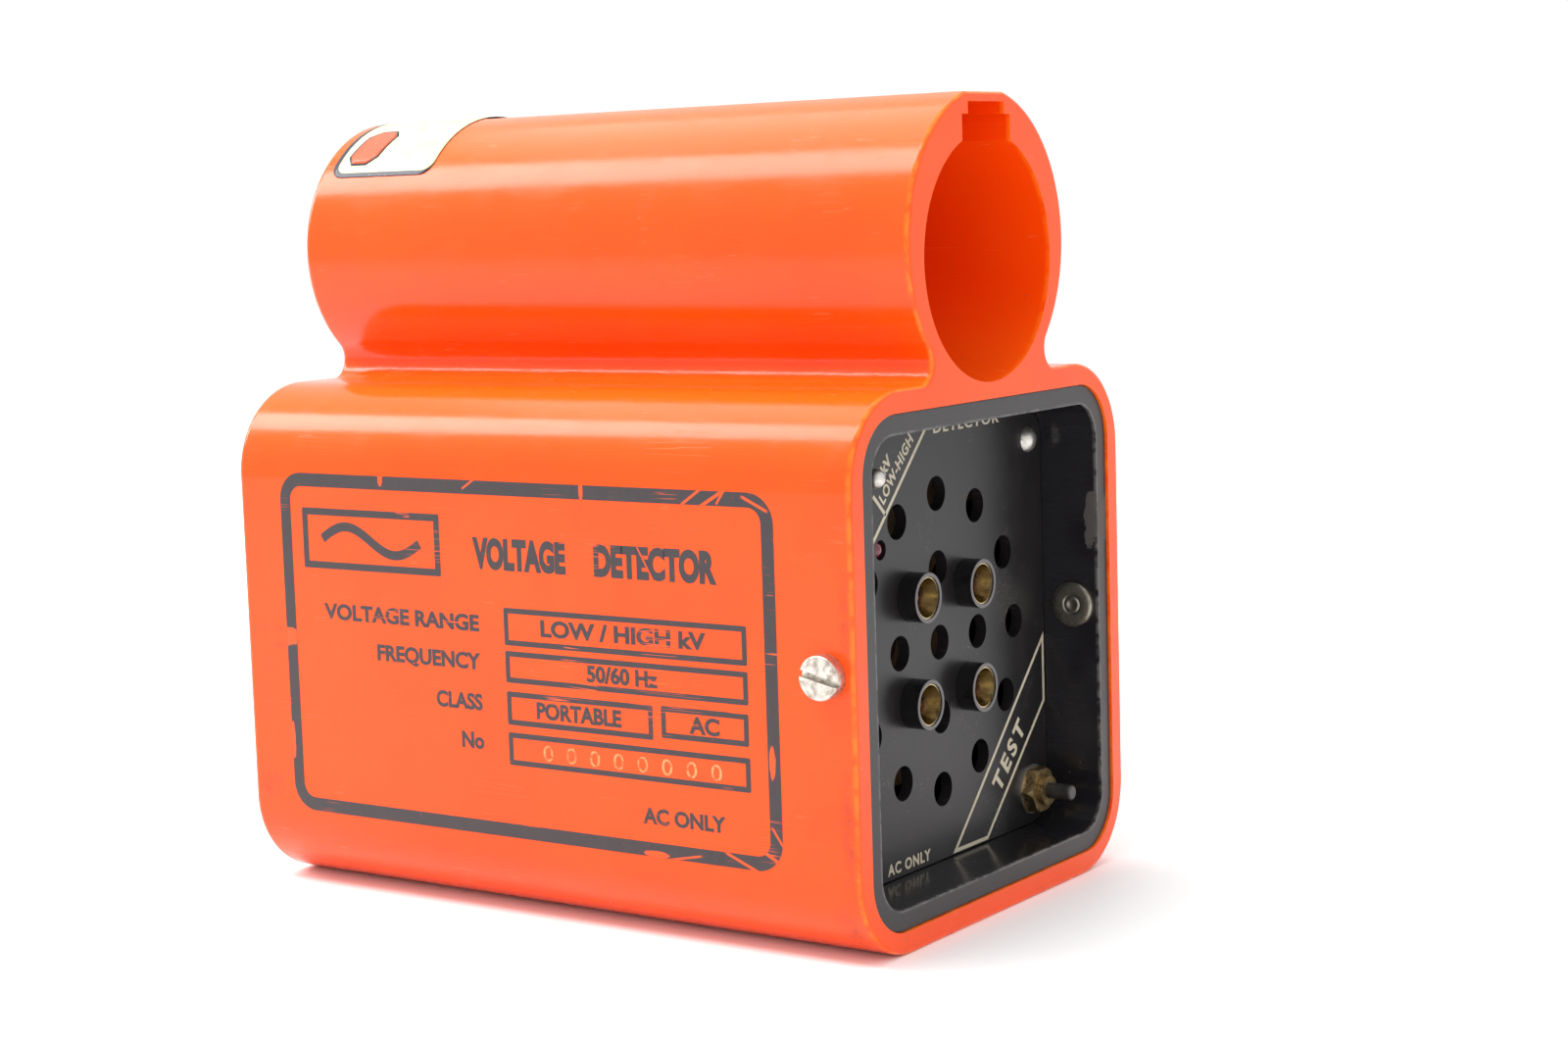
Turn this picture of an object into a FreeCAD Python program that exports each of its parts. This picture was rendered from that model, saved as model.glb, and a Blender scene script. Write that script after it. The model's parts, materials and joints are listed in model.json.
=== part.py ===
"""Head of a stick-mounted voltage detector.

Frame: +X along the stick tube towards the open end with the control panel, +Z up,
origin at the bottom centre of the bounding box. All values are millimetres.
"""
import FreeCAD, Part
import os
from math import atan2, cos, radians, sin, sqrt

V = FreeCAD.Vector
ALONG = V(1, 0, 0)

# ---- housing: sizes at the front end, and how much each draws in towards the back
LENGTH = 121.6
FRONT_WIDTH = 81.8
FRONT_HEIGHT = 84.0
FRONT_CORNER = 14.0
SIDE_DRAFT = 0.6
TOP_DRAFT = 0.6
CORNER_GROWTH = 0.8
WALL = 3.5
NECK_RADIUS = 3.2
BORE_RADIUS = 19.05
BORE_SINK = 0.9
TUBE_WALL = 4.45
TUBE_DRAFT = 1.6
EDGE_ROUND = 0.7
BACK_EDGE_ROUND = 1.2
FOOT_TRIM = 0.05
FRONT_CROWN_TRIM = 0.7
BACK_CROWN_TRIM = 0.25

# how far the tube's axis stands above the bore's
FRONT_TUBE_OVER_BORE = 2.2
BACK_TUBE_OVER_BORE = 2.7

# keyway in the roof of the bore
KEYWAY_WIDTH = 14.5
KEYWAY_TOP_WIDTH = 10.9
KEYWAY_SHOULDER = 1.9
FRONT_KEYWAY_SKIN = 2.2
BACK_KEYWAY_SKIN = 1.6

# ---- module case: black tray that slides into the housing mouth
CASE_CLEARANCE = 0.15
CASE_SETBACK = 0.45
CAVITY_CORNER = 9.1
RIM_THICKNESS = 3.05
RECESS_DEPTH = 10.5
RECESS_DRAFT = 0.5
PANEL_THICKNESS = 2.0
PANEL_GAP = 0.1
LEDGE = 0.6
CASE_WALL = 1.75
CASE_BACK_WALL = 2.5
COLLAR_LENGTH = 16.0
SEAL_DEPTH = 1.2
SEAL_WIDTH = 2.0

# ---- panel pattern: rings from the panel's centre, controls and screws from its edges
SOUND_HOLE_RADIUS = 2.75
INNER_RING = 11.8
OUTER_RING = 23.5
CONTROL_SIDE_INSET = 5.6
CONTROL_END_INSET = 5.8
PANEL_SCREW_SIDE_INSET = 4.3
PANEL_SCREW_END_INSET = 5.4

# ---- lamps
HOOD_RADIUS = 3.9
HOOD_MOUTH = 3.35
HOOD_HEIGHT = 3.3
HOOD_STEM = 3.5
HOOD_STEM_LENGTH = 4.4
LAMP_RADIUS = 1.5
LAMP_REACH = 1.2
LAMP_GAP = 0.1
LAMP_FLANGE = 1.9
LAMP_FLANGE_THICKNESS = 1.0
REFLECTOR_WALL = 0.2
POWER_LAMP_RADIUS = 1.5
LEG_RADIUS = 0.25
LEG_SPACING = 2.54

# ---- panel controls
BUSHING_RADIUS = 2.45
NUT_ACROSS_FLATS = 7.0
NUT_THICKNESS = 2.0
NUT_CHAMFER = 0.35
WASHER_THICKNESS = 0.5
WASHER_RADIUS = 4.1
RANGE_BUSHING_HEIGHT = 4.2
LEVER_BALL = 1.75
LEVER_REACH = 8.2
LEVER_NECK = 0.8
LEVER_TIP = 1.5
PIVOT_RADIUS = 0.4
PIVOT_END_GAP = 0.15
TEST_BUSHING_HEIGHT = 3.6
BUTTON_RADIUS = 1.3
BUTTON_HEIGHT = 8.0
BUTTON_ROUND = 0.43
BUTTON_TRAVEL = 1.6
BUTTON_COLLAR = 2.3
BUTTON_COLLAR_THICKNESS = 1.2
RUNNING_GAP = 0.05
SWITCH_DEPTH = 9.0
RANGE_BODY_LENGTH = 7.2
RANGE_BODY_WIDTH = 5.2
TEST_BODY_SIDE = 6.8
SWITCH_WALL = 0.8
SPRING_WIRE = 0.22
SPRING_RADIUS = 1.85
SPRING_TURNS = 5
PIN_RADIUS = 0.35
PIN_LENGTH = 3.0

# ---- side screws that hold the module case in the housing
SIDE_SCREW_FROM_FRONT = 4.9
SIDE_SCREW_OVER_CENTRE = 1.6
SCREW_RADIUS = 1.95
SCREW_HEAD_RADIUS = 3.35
SCREW_HEAD_HEIGHT = 2.3
SCREW_SLOT_WIDTH = 1.0
SCREW_SLOT_DEPTH = 1.1
SCREW_TIP_SETBACK = 0.3
SCREW_HEAD_ROUND = 0.38
SCREW_SLOT_TURN = 12.0
HOLE_GAP = 0.25
THREAD_GAP = 0.05
INSERT_RADIUS = 3.7
INSERT_PROUD = 0.8

# ---- small fasteners
PANEL_SCREW_RADIUS = 1.45
PANEL_SCREW_HEAD = 2.2
PANEL_SCREW_DOME = 1.4
PANEL_SCREW_LENGTH = 9.0
PANEL_SCREW_END_GAP = 1.0
POST_RADIUS = 4.4
POST_LENGTH = 14.0
SMALL_SCREW_RADIUS = 1.2
SMALL_SCREW_HEAD = 2.2
SMALL_SCREW_HEAD_HEIGHT = 1.3
SMALL_SCREW_END_GAP = 2.0

# ---- electronics
BOARD_THICKNESS = 1.6
LAMP_BOARD_SIDE = 50.0
LAMP_BOARD_GAP = 9.7
LAMP_POST_OFFSET = 22.0
LAMP_POST_RADIUS = 2.4
BOARD_PORT_RADIUS = 6.0
GASKET_THICKNESS = 2.5
GASKET_RADIUS = 12.0
SOUNDER_RADIUS = 20.0
SOUNDER_LENGTH = 14.0
SOUNDER_WALL = 1.5
DIAPHRAGM_THICKNESS = 0.4
DIAPHRAGM_SETBACK = 3.0
MAIN_BOARD_LENGTH = 62.0
MAIN_BOARD_HEIGHT = 58.0
MAIN_BOARD_OFFSET = 7.5
MAIN_BOARD_BACK_GAP = 8.0
STANDOFF_RADIUS = 2.6
STANDOFF_INSET = 3.2
BATTERY_LENGTH = 46.4
BATTERY_WIDTH = 26.2
BATTERY_THICKNESS = 17.2
BATTERY_ROUND = 1.5
TRAY_CORNER_GAP = 0.4
BATTERY_BACK_GAP = 10.0
TRAY_WALL = 2.0
TRAY_GAP = 0.3
TRAY_RISE = 12.0
SNAP_PITCH = 12.7
SNAP_HEIGHT = 2.0
SNAP_STUD_RADIUS = 2.9
SNAP_SOCKET_RADIUS = 3.8
SNAP_PLATE = 2.4
LEAD_RADIUS = 0.7
LEAD_BEND = 4.0
LEAD_RUN = 5.0
LEAD_SPACING = 4.0
LEAD_RISE = 4.0
CHIP_LENGTH = 19.0
CHIP_WIDTH = 6.4
CHIP_HEIGHT = 4.0
CHIP_PLACES = ((6.0, 44.0), (32.0, 44.0))
CAPACITOR_RADIUS = 4.0
CAPACITOR_HEIGHT = 12.0
CAPACITOR_ROUND = 0.7
CAPACITOR_PLACES = ((12.0, 30.0), (24.0, 30.0))
RESISTOR_RADIUS = 1.15
RESISTOR_LENGTH = 6.5
RESISTOR_START = 34.0
RESISTOR_FIRST = 26.0
RESISTOR_PITCH = 4.0
RESISTOR_COUNT = 4
TRIMMER_PLACE = (46.0, 27.0)
TRIMMER_SIDE = 6.8
TRIMMER_HEIGHT = 5.0
TRIMMER_SCREW_RADIUS = 1.7
TRIMMER_SCREW_RISE = 0.4
HEADER_HEIGHT = 6.0
PLATE_SIDE = 46.0
PLATE_THICKNESS = 1.0
PLATE_STANDOFF = 2.0
PLATE_SPACER_RADIUS = 3.0
PLATE_SPACER_OFFSET = 16.0

# two places closer than this count as one
SAME_PLACE = 1e-3

# ---- places worked out from the sizes above
FRONT = LENGTH / 2
BACK = -LENGTH / 2
CENTRE_Z = FRONT_HEIGHT / 2
BORE_Z = FRONT_HEIGHT + BORE_RADIUS - BORE_SINK
FRONT_TUBE_RADIUS = BORE_RADIUS + TUBE_WALL
BACK_TUBE_RADIUS = FRONT_TUBE_RADIUS - TUBE_DRAFT
CAVITY_HALF_WIDTH = FRONT_WIDTH / 2 - WALL
CAVITY_HALF_HEIGHT = FRONT_HEIGHT / 2 - WALL
CAVITY_BACK = BACK + WALL
CASE_HALF_WIDTH = CAVITY_HALF_WIDTH - CASE_CLEARANCE
CASE_HALF_HEIGHT = CAVITY_HALF_HEIGHT - CASE_CLEARANCE
CASE_CORNER = CAVITY_CORNER - CASE_CLEARANCE
CASE_FRONT = FRONT - CASE_SETBACK
CASE_BACK = CAVITY_BACK + 2 * CASE_CLEARANCE
PANEL_FRONT = FRONT - RECESS_DEPTH
PANEL_BACK = PANEL_FRONT - PANEL_THICKNESS
COLLAR_BACK = CASE_FRONT - COLLAR_LENGTH
SEAT_INSET = RIM_THICKNESS + RECESS_DRAFT
CHAMBER_INSET = SEAT_INSET + LEDGE
BODY_INSET = CHAMBER_INSET - CASE_WALL
CHAMBER_HALF_WIDTH = CASE_HALF_WIDTH - CHAMBER_INSET
CHAMBER_HALF_HEIGHT = CASE_HALF_HEIGHT - CHAMBER_INSET
CHAMBER_BACK = CASE_BACK + CASE_BACK_WALL
CHAMBER_CORNER = CASE_CORNER - CHAMBER_INSET
PANEL_INSET = SEAT_INSET + PANEL_GAP
PANEL_HALF_WIDTH = CASE_HALF_WIDTH - PANEL_INSET
PANEL_HALF_HEIGHT = CASE_HALF_HEIGHT - PANEL_INSET
SCREW_SIDE = PANEL_HALF_WIDTH - PANEL_SCREW_SIDE_INSET
SCREW_RISE = PANEL_HALF_HEIGHT - PANEL_SCREW_END_INSET
SIDE_SCREW_X = FRONT - SIDE_SCREW_FROM_FRONT
SIDE_SCREW_Z = CENTRE_Z + SIDE_SCREW_OVER_CENTRE
TEST_Y = PANEL_HALF_WIDTH - CONTROL_SIDE_INSET
TEST_Z = CENTRE_Z - PANEL_HALF_HEIGHT + CONTROL_END_INSET
RANGE_Y = -TEST_Y
RANGE_Z = CENTRE_Z + PANEL_HALF_HEIGHT - CONTROL_END_INSET
SWITCH_FRONT = PANEL_BACK - WASHER_THICKNESS / 2
NUT_BACK = PANEL_FRONT + WASHER_THICKNESS
LAMP_BOARD_FRONT = PANEL_BACK - LAMP_BOARD_GAP
LAMP_BOARD_BACK = LAMP_BOARD_FRONT - BOARD_THICKNESS
SOUNDER_FRONT = LAMP_BOARD_BACK - GASKET_THICKNESS
SOUNDER_BACK = SOUNDER_FRONT - SOUNDER_LENGTH
LEVER_PIVOT = PANEL_FRONT + RANGE_BUSHING_HEIGHT / 4
LAMP_PLACES = {"upper_left": 135, "upper_right": 45, "lower_left": 225, "lower_right": 315}
POWER_LAMP_ANGLE = 135
MAIN_BOARD_X = CHAMBER_BACK + MAIN_BOARD_BACK_GAP
MAIN_BOARD_Y = -CHAMBER_HALF_WIDTH + MAIN_BOARD_OFFSET
MAIN_BOARD_Z = CENTRE_Z - MAIN_BOARD_HEIGHT / 2
BOARD_FACE = MAIN_BOARD_Y + BOARD_THICKNESS
TRAY_FLOOR = CENTRE_Z - CHAMBER_HALF_HEIGHT
BATTERY_X = CHAMBER_BACK + BATTERY_BACK_GAP
TRAY_SIDE = CHAMBER_HALF_WIDTH - CHAMBER_CORNER - TRAY_CORNER_GAP
BATTERY_SIDE = TRAY_SIDE - TRAY_WALL - TRAY_GAP - BATTERY_WIDTH / 2
BATTERY_Z = TRAY_FLOOR + TRAY_WALL + TRAY_GAP
SNAP_X = BATTERY_X + BATTERY_LENGTH + SNAP_HEIGHT


# ---- small helpers
def block(x0, x1, y0, y1, z0, z1):
    """Box between two corners."""
    return Part.makeBox(x1 - x0, y1 - y0, z1 - z0, V(x0, y0, z0))


def rod(x0, x1, y, z, radius):
    """Cylinder along X."""
    return Part.makeCylinder(radius, x1 - x0, V(x0, y, z), ALONG)


def ring(x0, x1, y, z, outer, inner):
    """Tube along X."""
    return rod(x0, x1, y, z, outer).cut(rod(x0, x1, y, z, inner))


def funnel(x0, x1, y, z, back_radius, front_radius):
    """Cone along X that widens towards the front."""
    return Part.makeCone(back_radius, front_radius, x1 - x0, V(x0, y, z), ALONG)


def polar(radius, angle):
    """Place on the panel at a radius and an angle from +Y, measured from the panel's centre."""
    return radius * cos(radians(angle)), CENTRE_Z + radius * sin(radians(angle))


def line(a, b):
    return Part.LineSegment(a, b).toShape()


def arc(a, middle, b):
    return Part.Arc(a, middle, b).toShape()


def rounded_wire(x, half_width, half_height, radius):
    """Rounded rectangle in the plane X = x, centred on the panel's centre."""
    corners = ((1, 1), (-1, 1), (-1, -1), (1, -1))
    edges = []
    starts = []
    ends = []
    for index, (side_y, side_z) in enumerate(corners):
        cy = side_y * (half_width - radius)
        cz = CENTRE_Z + side_z * (half_height - radius)
        base = 90 * index
        points = [
            V(x, cy + radius * cos(radians(base + step)), cz + radius * sin(radians(base + step)))
            for step in (0, 45, 90)
        ]
        edges.append(arc(*points))
        starts.append(points[0])
        ends.append(points[2])
    for index in range(4):
        edges.append(line(ends[index], starts[(index + 1) % 4]))
    return Part.Wire(Part.__sortEdges__(edges))


def rounded_block(x0, x1, half_width, half_height, radius):
    """Rounded-rectangle bar along X."""
    return Part.Face(rounded_wire(x0, half_width, half_height, radius)).extrude(V(x1 - x0, 0, 0))


def tapered_block(x0, size0, x1, size1):
    """Rounded-rectangle bar whose (half width, half height, radius) changes along X."""
    return Part.makeLoft([rounded_wire(x0, *size0), rounded_wire(x1, *size1)], True, True)


def hex_nut(x0, x1, y, z, hole):
    """Hexagonal nut along X."""
    radius = NUT_ACROSS_FLATS / sqrt(3)
    corners = [
        V(x0, y + radius * cos(radians(60 * k)), z + radius * sin(radians(60 * k)))
        for k in range(7)
    ]
    prism = Part.Face(Part.makePolygon(corners)).extrude(V(x1 - x0, 0, 0))
    crown = Part.makeCone(radius + NUT_CHAMFER, radius - NUT_CHAMFER, x1 - x0, V(x0, y, z), ALONG)
    return prism.common(crown).cut(rod(x0, x1, y, z, hole))


# ---- housing
def housing_outline(x, half, height, corner, tube_radius, tube_z, crown_trim):
    """Closed outline of box, neck and tube in the plane X = x, down to z = -FOOT_TRIM."""
    reach = tube_radius + NECK_RADIUS
    neck_z = height + NECK_RADIUS
    neck_y = sqrt(reach ** 2 - (tube_z - neck_z) ** 2)
    share = tube_radius / reach
    touch_y = neck_y * share
    touch_z = tube_z + (neck_z - tube_z) * share
    to_tube = V(0, touch_y - neck_y, touch_z - neck_z).normalize()
    bend = (to_tube + V(0, 0, -1)).normalize() * NECK_RADIUS
    diagonal = corner * (1 - sqrt(0.5))
    foot = -FOOT_TRIM
    crown = tube_radius - crown_trim
    flat_y = sqrt(tube_radius ** 2 - crown ** 2)
    flank = (atan2(crown, flat_y) + atan2(touch_z - tube_z, touch_y)) / 2
    flank_y = tube_radius * cos(flank)
    flank_z = tube_z + tube_radius * sin(flank)

    def point(y, z):
        return V(x, y, z)

    neck_middle = point(neck_y + bend.y, neck_z + bend.z)
    neck_middle_left = point(-neck_middle.y, neck_middle.z)
    edges = [
        line(point(-half + corner, foot), point(half - corner, foot)),
        arc(point(half - corner, foot), point(half - diagonal, foot + diagonal),
            point(half, foot + corner)),
        line(point(half, foot + corner), point(half, height - corner)),
        arc(point(half, height - corner), point(half - diagonal, height - diagonal),
            point(half - corner, height)),
        line(point(half - corner, height), point(neck_y, height)),
        arc(point(neck_y, height), neck_middle, point(touch_y, touch_z)),
        arc(point(touch_y, touch_z), point(flank_y, flank_z), point(flat_y, tube_z + crown)),
        line(point(flat_y, tube_z + crown), point(-flat_y, tube_z + crown)),
        arc(point(-flat_y, tube_z + crown), point(-flank_y, flank_z), point(-touch_y, touch_z)),
        arc(point(-touch_y, touch_z), neck_middle_left, point(-neck_y, height)),
        line(point(-neck_y, height), point(-half + corner, height)),
        arc(point(-half + corner, height), point(-half + diagonal, height - diagonal),
            point(-half, height - corner)),
        line(point(-half, height - corner), point(-half, foot + corner)),
        arc(point(-half, foot + corner), point(-half + diagonal, foot + diagonal),
            point(-half + corner, foot)),
    ]
    return Part.Wire(edges)


def housing_section(x):
    """Half width, height, corner, tube radius, tube height and crown flat at a station along X."""
    share = (FRONT - x) / LENGTH
    return (FRONT_WIDTH / 2 - SIDE_DRAFT * share,
            FRONT_HEIGHT - TOP_DRAFT * share,
            FRONT_CORNER + CORNER_GROWTH * share,
            FRONT_TUBE_RADIUS - TUBE_DRAFT * share,
            BORE_Z + FRONT_TUBE_OVER_BORE + (BACK_TUBE_OVER_BORE - FRONT_TUBE_OVER_BORE) * share,
            FRONT_CROWN_TRIM + (BACK_CROWN_TRIM - FRONT_CROWN_TRIM) * share)


def end_edges(shape, x):
    """Edges of a shape that lie wholly in the plane X = x."""
    return [e for e in shape.Edges if all(abs(v.X - x) < SAME_PLACE for v in e.Vertexes)]


def keyway():
    """Stepped slot in the roof of the bore, deeper at the front because of the draft."""
    back_top = BORE_Z + BACK_TUBE_OVER_BORE + BACK_TUBE_RADIUS - BACK_KEYWAY_SKIN
    front_top = BORE_Z + FRONT_TUBE_OVER_BORE + FRONT_TUBE_RADIUS - FRONT_KEYWAY_SKIN

    def slot(width, drop):
        ends = []
        for x, top in ((BACK, back_top), (FRONT, front_top)):
            low = V(x, -width / 2, BORE_Z)
            high = V(x, width / 2, top - drop)
            ends.append(Part.makePolygon([
                low, V(x, high.y, low.z), high, V(x, low.y, high.z), low]))
        return Part.makeLoft(ends, True, True)

    return slot(KEYWAY_WIDTH, KEYWAY_SHOULDER).fuse(slot(KEYWAY_TOP_WIDTH, 0))


def make_housing():
    ends = [housing_outline(x, *housing_section(x)) for x in (BACK, FRONT)]
    body = Part.makeLoft(ends, True, True)
    body = body.makeFillet(BACK_EDGE_ROUND, end_edges(body, BACK))
    body = body.makeFillet(EDGE_ROUND, end_edges(body, FRONT))
    body = body.cut(block(BACK, FRONT, -FRONT_WIDTH, FRONT_WIDTH, -FRONT_HEIGHT, 0))
    body = body.cut(rod(BACK, FRONT, 0, BORE_Z, BORE_RADIUS))
    body = body.cut(keyway())
    body = body.cut(rounded_block(
        CAVITY_BACK, FRONT, CAVITY_HALF_WIDTH, CAVITY_HALF_HEIGHT, CAVITY_CORNER))
    through = Part.makeCylinder(SCREW_RADIUS + HOLE_GAP, 2 * FRONT_WIDTH,
                                V(SIDE_SCREW_X, -FRONT_WIDTH, SIDE_SCREW_Z), V(0, 1, 0))
    return body.cut(through)


# ---- module case, seal and panel
def make_module_case():
    collar = rounded_block(COLLAR_BACK, CASE_FRONT, CASE_HALF_WIDTH, CASE_HALF_HEIGHT, CASE_CORNER)
    shell = rounded_block(CASE_BACK, COLLAR_BACK, CASE_HALF_WIDTH - BODY_INSET,
                          CASE_HALF_HEIGHT - BODY_INSET, CASE_CORNER - BODY_INSET)
    opening = tapered_block(
        PANEL_BACK,
        (CASE_HALF_WIDTH - SEAT_INSET, CASE_HALF_HEIGHT - SEAT_INSET, CASE_CORNER - SEAT_INSET),
        CASE_FRONT,
        (CASE_HALF_WIDTH - RIM_THICKNESS, CASE_HALF_HEIGHT - RIM_THICKNESS,
         CASE_CORNER - RIM_THICKNESS))
    chamber = rounded_block(CHAMBER_BACK, PANEL_BACK, CHAMBER_HALF_WIDTH, CHAMBER_HALF_HEIGHT,
                            CHAMBER_CORNER)
    body = collar.fuse(shell).cut(opening).cut(chamber)
    seal_back = COLLAR_BACK + SEAL_WIDTH
    groove = rounded_block(seal_back, seal_back + SEAL_WIDTH, CASE_HALF_WIDTH, CASE_HALF_HEIGHT,
                           CASE_CORNER)
    core = rounded_block(seal_back, seal_back + SEAL_WIDTH, CASE_HALF_WIDTH - SEAL_DEPTH,
                         CASE_HALF_HEIGHT - SEAL_DEPTH, CASE_CORNER - SEAL_DEPTH)
    body = body.cut(groove.cut(core))
    for side in (1, -1):
        y = side * SCREW_SIDE
        z = CENTRE_Z + side * SCREW_RISE
        post = rod(PANEL_BACK - POST_LENGTH, PANEL_BACK, y, z, POST_RADIUS)
        body = body.fuse(post.common(shell.fuse(collar)))
    for side in (1, -1):
        y = side * SCREW_SIDE
        z = CENTRE_Z + side * SCREW_RISE
        body = body.cut(rod(PANEL_BACK - PANEL_SCREW_LENGTH, PANEL_BACK, y, z,
                            PANEL_SCREW_RADIUS + THREAD_GAP))
    seats = Part.makeCylinder(INSERT_RADIUS + THREAD_GAP, 2 * FRONT_WIDTH,
                              V(SIDE_SCREW_X, -FRONT_WIDTH, SIDE_SCREW_Z), V(0, 1, 0))
    return body.cut(seats).removeSplitter()


def make_rim_seal():
    seal_back = COLLAR_BACK + SEAL_WIDTH + RUNNING_GAP
    seal_front = COLLAR_BACK + 2 * SEAL_WIDTH - RUNNING_GAP
    outer = rounded_block(seal_back, seal_front, CAVITY_HALF_WIDTH - RUNNING_GAP,
                          CAVITY_HALF_HEIGHT - RUNNING_GAP, CAVITY_CORNER - RUNNING_GAP)
    inset = SEAL_DEPTH - RUNNING_GAP
    inner = rounded_block(seal_back, seal_front, CASE_HALF_WIDTH - inset,
                          CASE_HALF_HEIGHT - inset, CASE_CORNER - inset)
    return outer.cut(inner)


def sound_holes():
    places = [(0, CENTRE_Z)]
    places += [polar(INNER_RING, 90 * k) for k in range(4)]
    places += [polar(OUTER_RING, 30 * k) for k in range(12)]
    return places


def make_front_panel():
    plate = rounded_block(PANEL_BACK, PANEL_FRONT, PANEL_HALF_WIDTH, PANEL_HALF_HEIGHT,
                          CASE_CORNER - PANEL_INSET)
    holes = [(y, z, SOUND_HOLE_RADIUS) for y, z in sound_holes()]
    holes += [(*polar(INNER_RING, a), HOOD_STEM + RUNNING_GAP) for a in LAMP_PLACES.values()]
    holes.append((*polar(OUTER_RING, POWER_LAMP_ANGLE), POWER_LAMP_RADIUS + RUNNING_GAP))
    holes.append((RANGE_Y, RANGE_Z, BUSHING_RADIUS + RUNNING_GAP))
    holes.append((TEST_Y, TEST_Z, BUSHING_RADIUS + RUNNING_GAP))
    for side in (1, -1):
        holes.append((side * SCREW_SIDE, CENTRE_Z + side * SCREW_RISE,
                      PANEL_SCREW_RADIUS + HOLE_GAP))
    for y, z, radius in holes:
        plate = plate.cut(rod(PANEL_BACK, PANEL_FRONT, y, z, radius))
    return plate


def make_panel_screws():
    screws = []
    dome_radius = (PANEL_SCREW_HEAD ** 2 + PANEL_SCREW_DOME ** 2) / (2 * PANEL_SCREW_DOME)
    for side in (1, -1):
        y = side * SCREW_SIDE
        z = CENTRE_Z + side * SCREW_RISE
        shank = rod(PANEL_BACK - PANEL_SCREW_LENGTH + PANEL_SCREW_END_GAP, PANEL_FRONT, y, z,
                    PANEL_SCREW_RADIUS)
        ball = Part.makeSphere(dome_radius, V(PANEL_FRONT + PANEL_SCREW_DOME - dome_radius, y, z))
        head = rod(PANEL_FRONT, PANEL_FRONT + PANEL_SCREW_DOME, y, z, PANEL_SCREW_HEAD).common(ball)
        screws.append(shank.fuse(head))
    return Part.makeCompound(screws)


# ---- lamps
def make_hood(y, z):
    tip = PANEL_FRONT + HOOD_HEIGHT
    back = PANEL_FRONT - HOOD_STEM_LENGTH
    hood = rod(PANEL_FRONT, tip, y, z, HOOD_RADIUS).fuse(rod(back, tip, y, z, HOOD_STEM))
    lamp_hole = LAMP_RADIUS + LAMP_GAP
    hood = hood.cut(funnel(PANEL_BACK, tip, y, z, lamp_hole + REFLECTOR_WALL, HOOD_MOUTH))
    return hood.cut(rod(back, tip, y, z, lamp_hole))


def make_reflectors():
    """Four funnels that line the hoods, each a running gap smaller than its hood's mouth."""
    tip = PANEL_FRONT + HOOD_HEIGHT
    back_inner = LAMP_RADIUS + LAMP_GAP
    slope = (HOOD_MOUTH - back_inner - REFLECTOR_WALL) / (tip - PANEL_BACK)
    front = tip - REFLECTOR_WALL
    back_outer = back_inner + REFLECTOR_WALL - RUNNING_GAP / 2
    front_outer = back_outer + slope * (front - PANEL_BACK)
    front_inner = front_outer - REFLECTOR_WALL
    return Part.makeCompound([
        funnel(PANEL_BACK, front, *polar(INNER_RING, angle), back_outer, front_outer).cut(
            funnel(PANEL_BACK, front, *polar(INNER_RING, angle), back_inner, front_inner))
        for angle in LAMP_PLACES.values()])


def lamp(y, z, radius, flange, tip):
    """Round lamp with a domed tip, a flange and two legs down to the lamp board."""
    flange_back = PANEL_FRONT - HOOD_STEM_LENGTH - LAMP_FLANGE_THICKNESS
    body = rod(flange_back, tip - radius, y, z, radius)
    body = body.fuse(Part.makeSphere(radius, V(tip - radius, y, z)))
    body = body.fuse(rod(flange_back, flange_back + LAMP_FLANGE_THICKNESS, y, z, flange))
    for side in (-0.5, 0.5):
        body = body.fuse(rod(LAMP_BOARD_FRONT, flange_back, y + side * LEG_SPACING, z, LEG_RADIUS))
    return body


def make_lamp(y, z):
    return lamp(y, z, LAMP_RADIUS, LAMP_FLANGE, PANEL_FRONT + LAMP_REACH)


def make_power_lamp():
    y, z = polar(OUTER_RING, POWER_LAMP_ANGLE)
    return lamp(y, z, POWER_LAMP_RADIUS, POWER_LAMP_RADIUS + LEG_RADIUS, PANEL_FRONT)


# ---- range switch
def range_body_blank(depth, half_length, half_width):
    """Bar along X turned so that its long side follows the lever's throw."""
    bar = block(SWITCH_FRONT - depth, SWITCH_FRONT, -half_length, half_length,
                -half_width, half_width)
    bar.rotate(V(0, 0, 0), ALONG, 45)
    bar.translate(V(0, RANGE_Y, RANGE_Z))
    return bar


def make_range_body():
    body = range_body_blank(SWITCH_DEPTH, RANGE_BODY_LENGTH / 2, RANGE_BODY_WIDTH / 2)
    hollow = range_body_blank(SWITCH_DEPTH - SWITCH_WALL, RANGE_BODY_LENGTH / 2 - SWITCH_WALL,
                              RANGE_BODY_WIDTH / 2 - SWITCH_WALL)
    return body.cut(hollow).fuse(switch_pins(RANGE_Y, RANGE_Z, 45))


def switch_pins(y, z, turn):
    """Three solder pins at the back of a switch body, in a row."""
    back = SWITCH_FRONT - SWITCH_DEPTH
    step_y = cos(radians(turn)) * LEG_SPACING
    step_z = sin(radians(turn)) * LEG_SPACING
    pins = [rod(back - PIN_LENGTH, back, y + k * step_y, z + k * step_z, PIN_RADIUS)
            for k in (-1, 0, 1)]
    return Part.makeCompound(pins)


def pivot_rod(radius, half_length):
    """Cylinder along the range lever's hinge axis, square to the lever's throw."""
    across = V(0, sqrt(0.5), -sqrt(0.5))
    start = V(LEVER_PIVOT, RANGE_Y, RANGE_Z) - across * half_length
    return Part.makeCylinder(radius, 2 * half_length, start, across)


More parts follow.
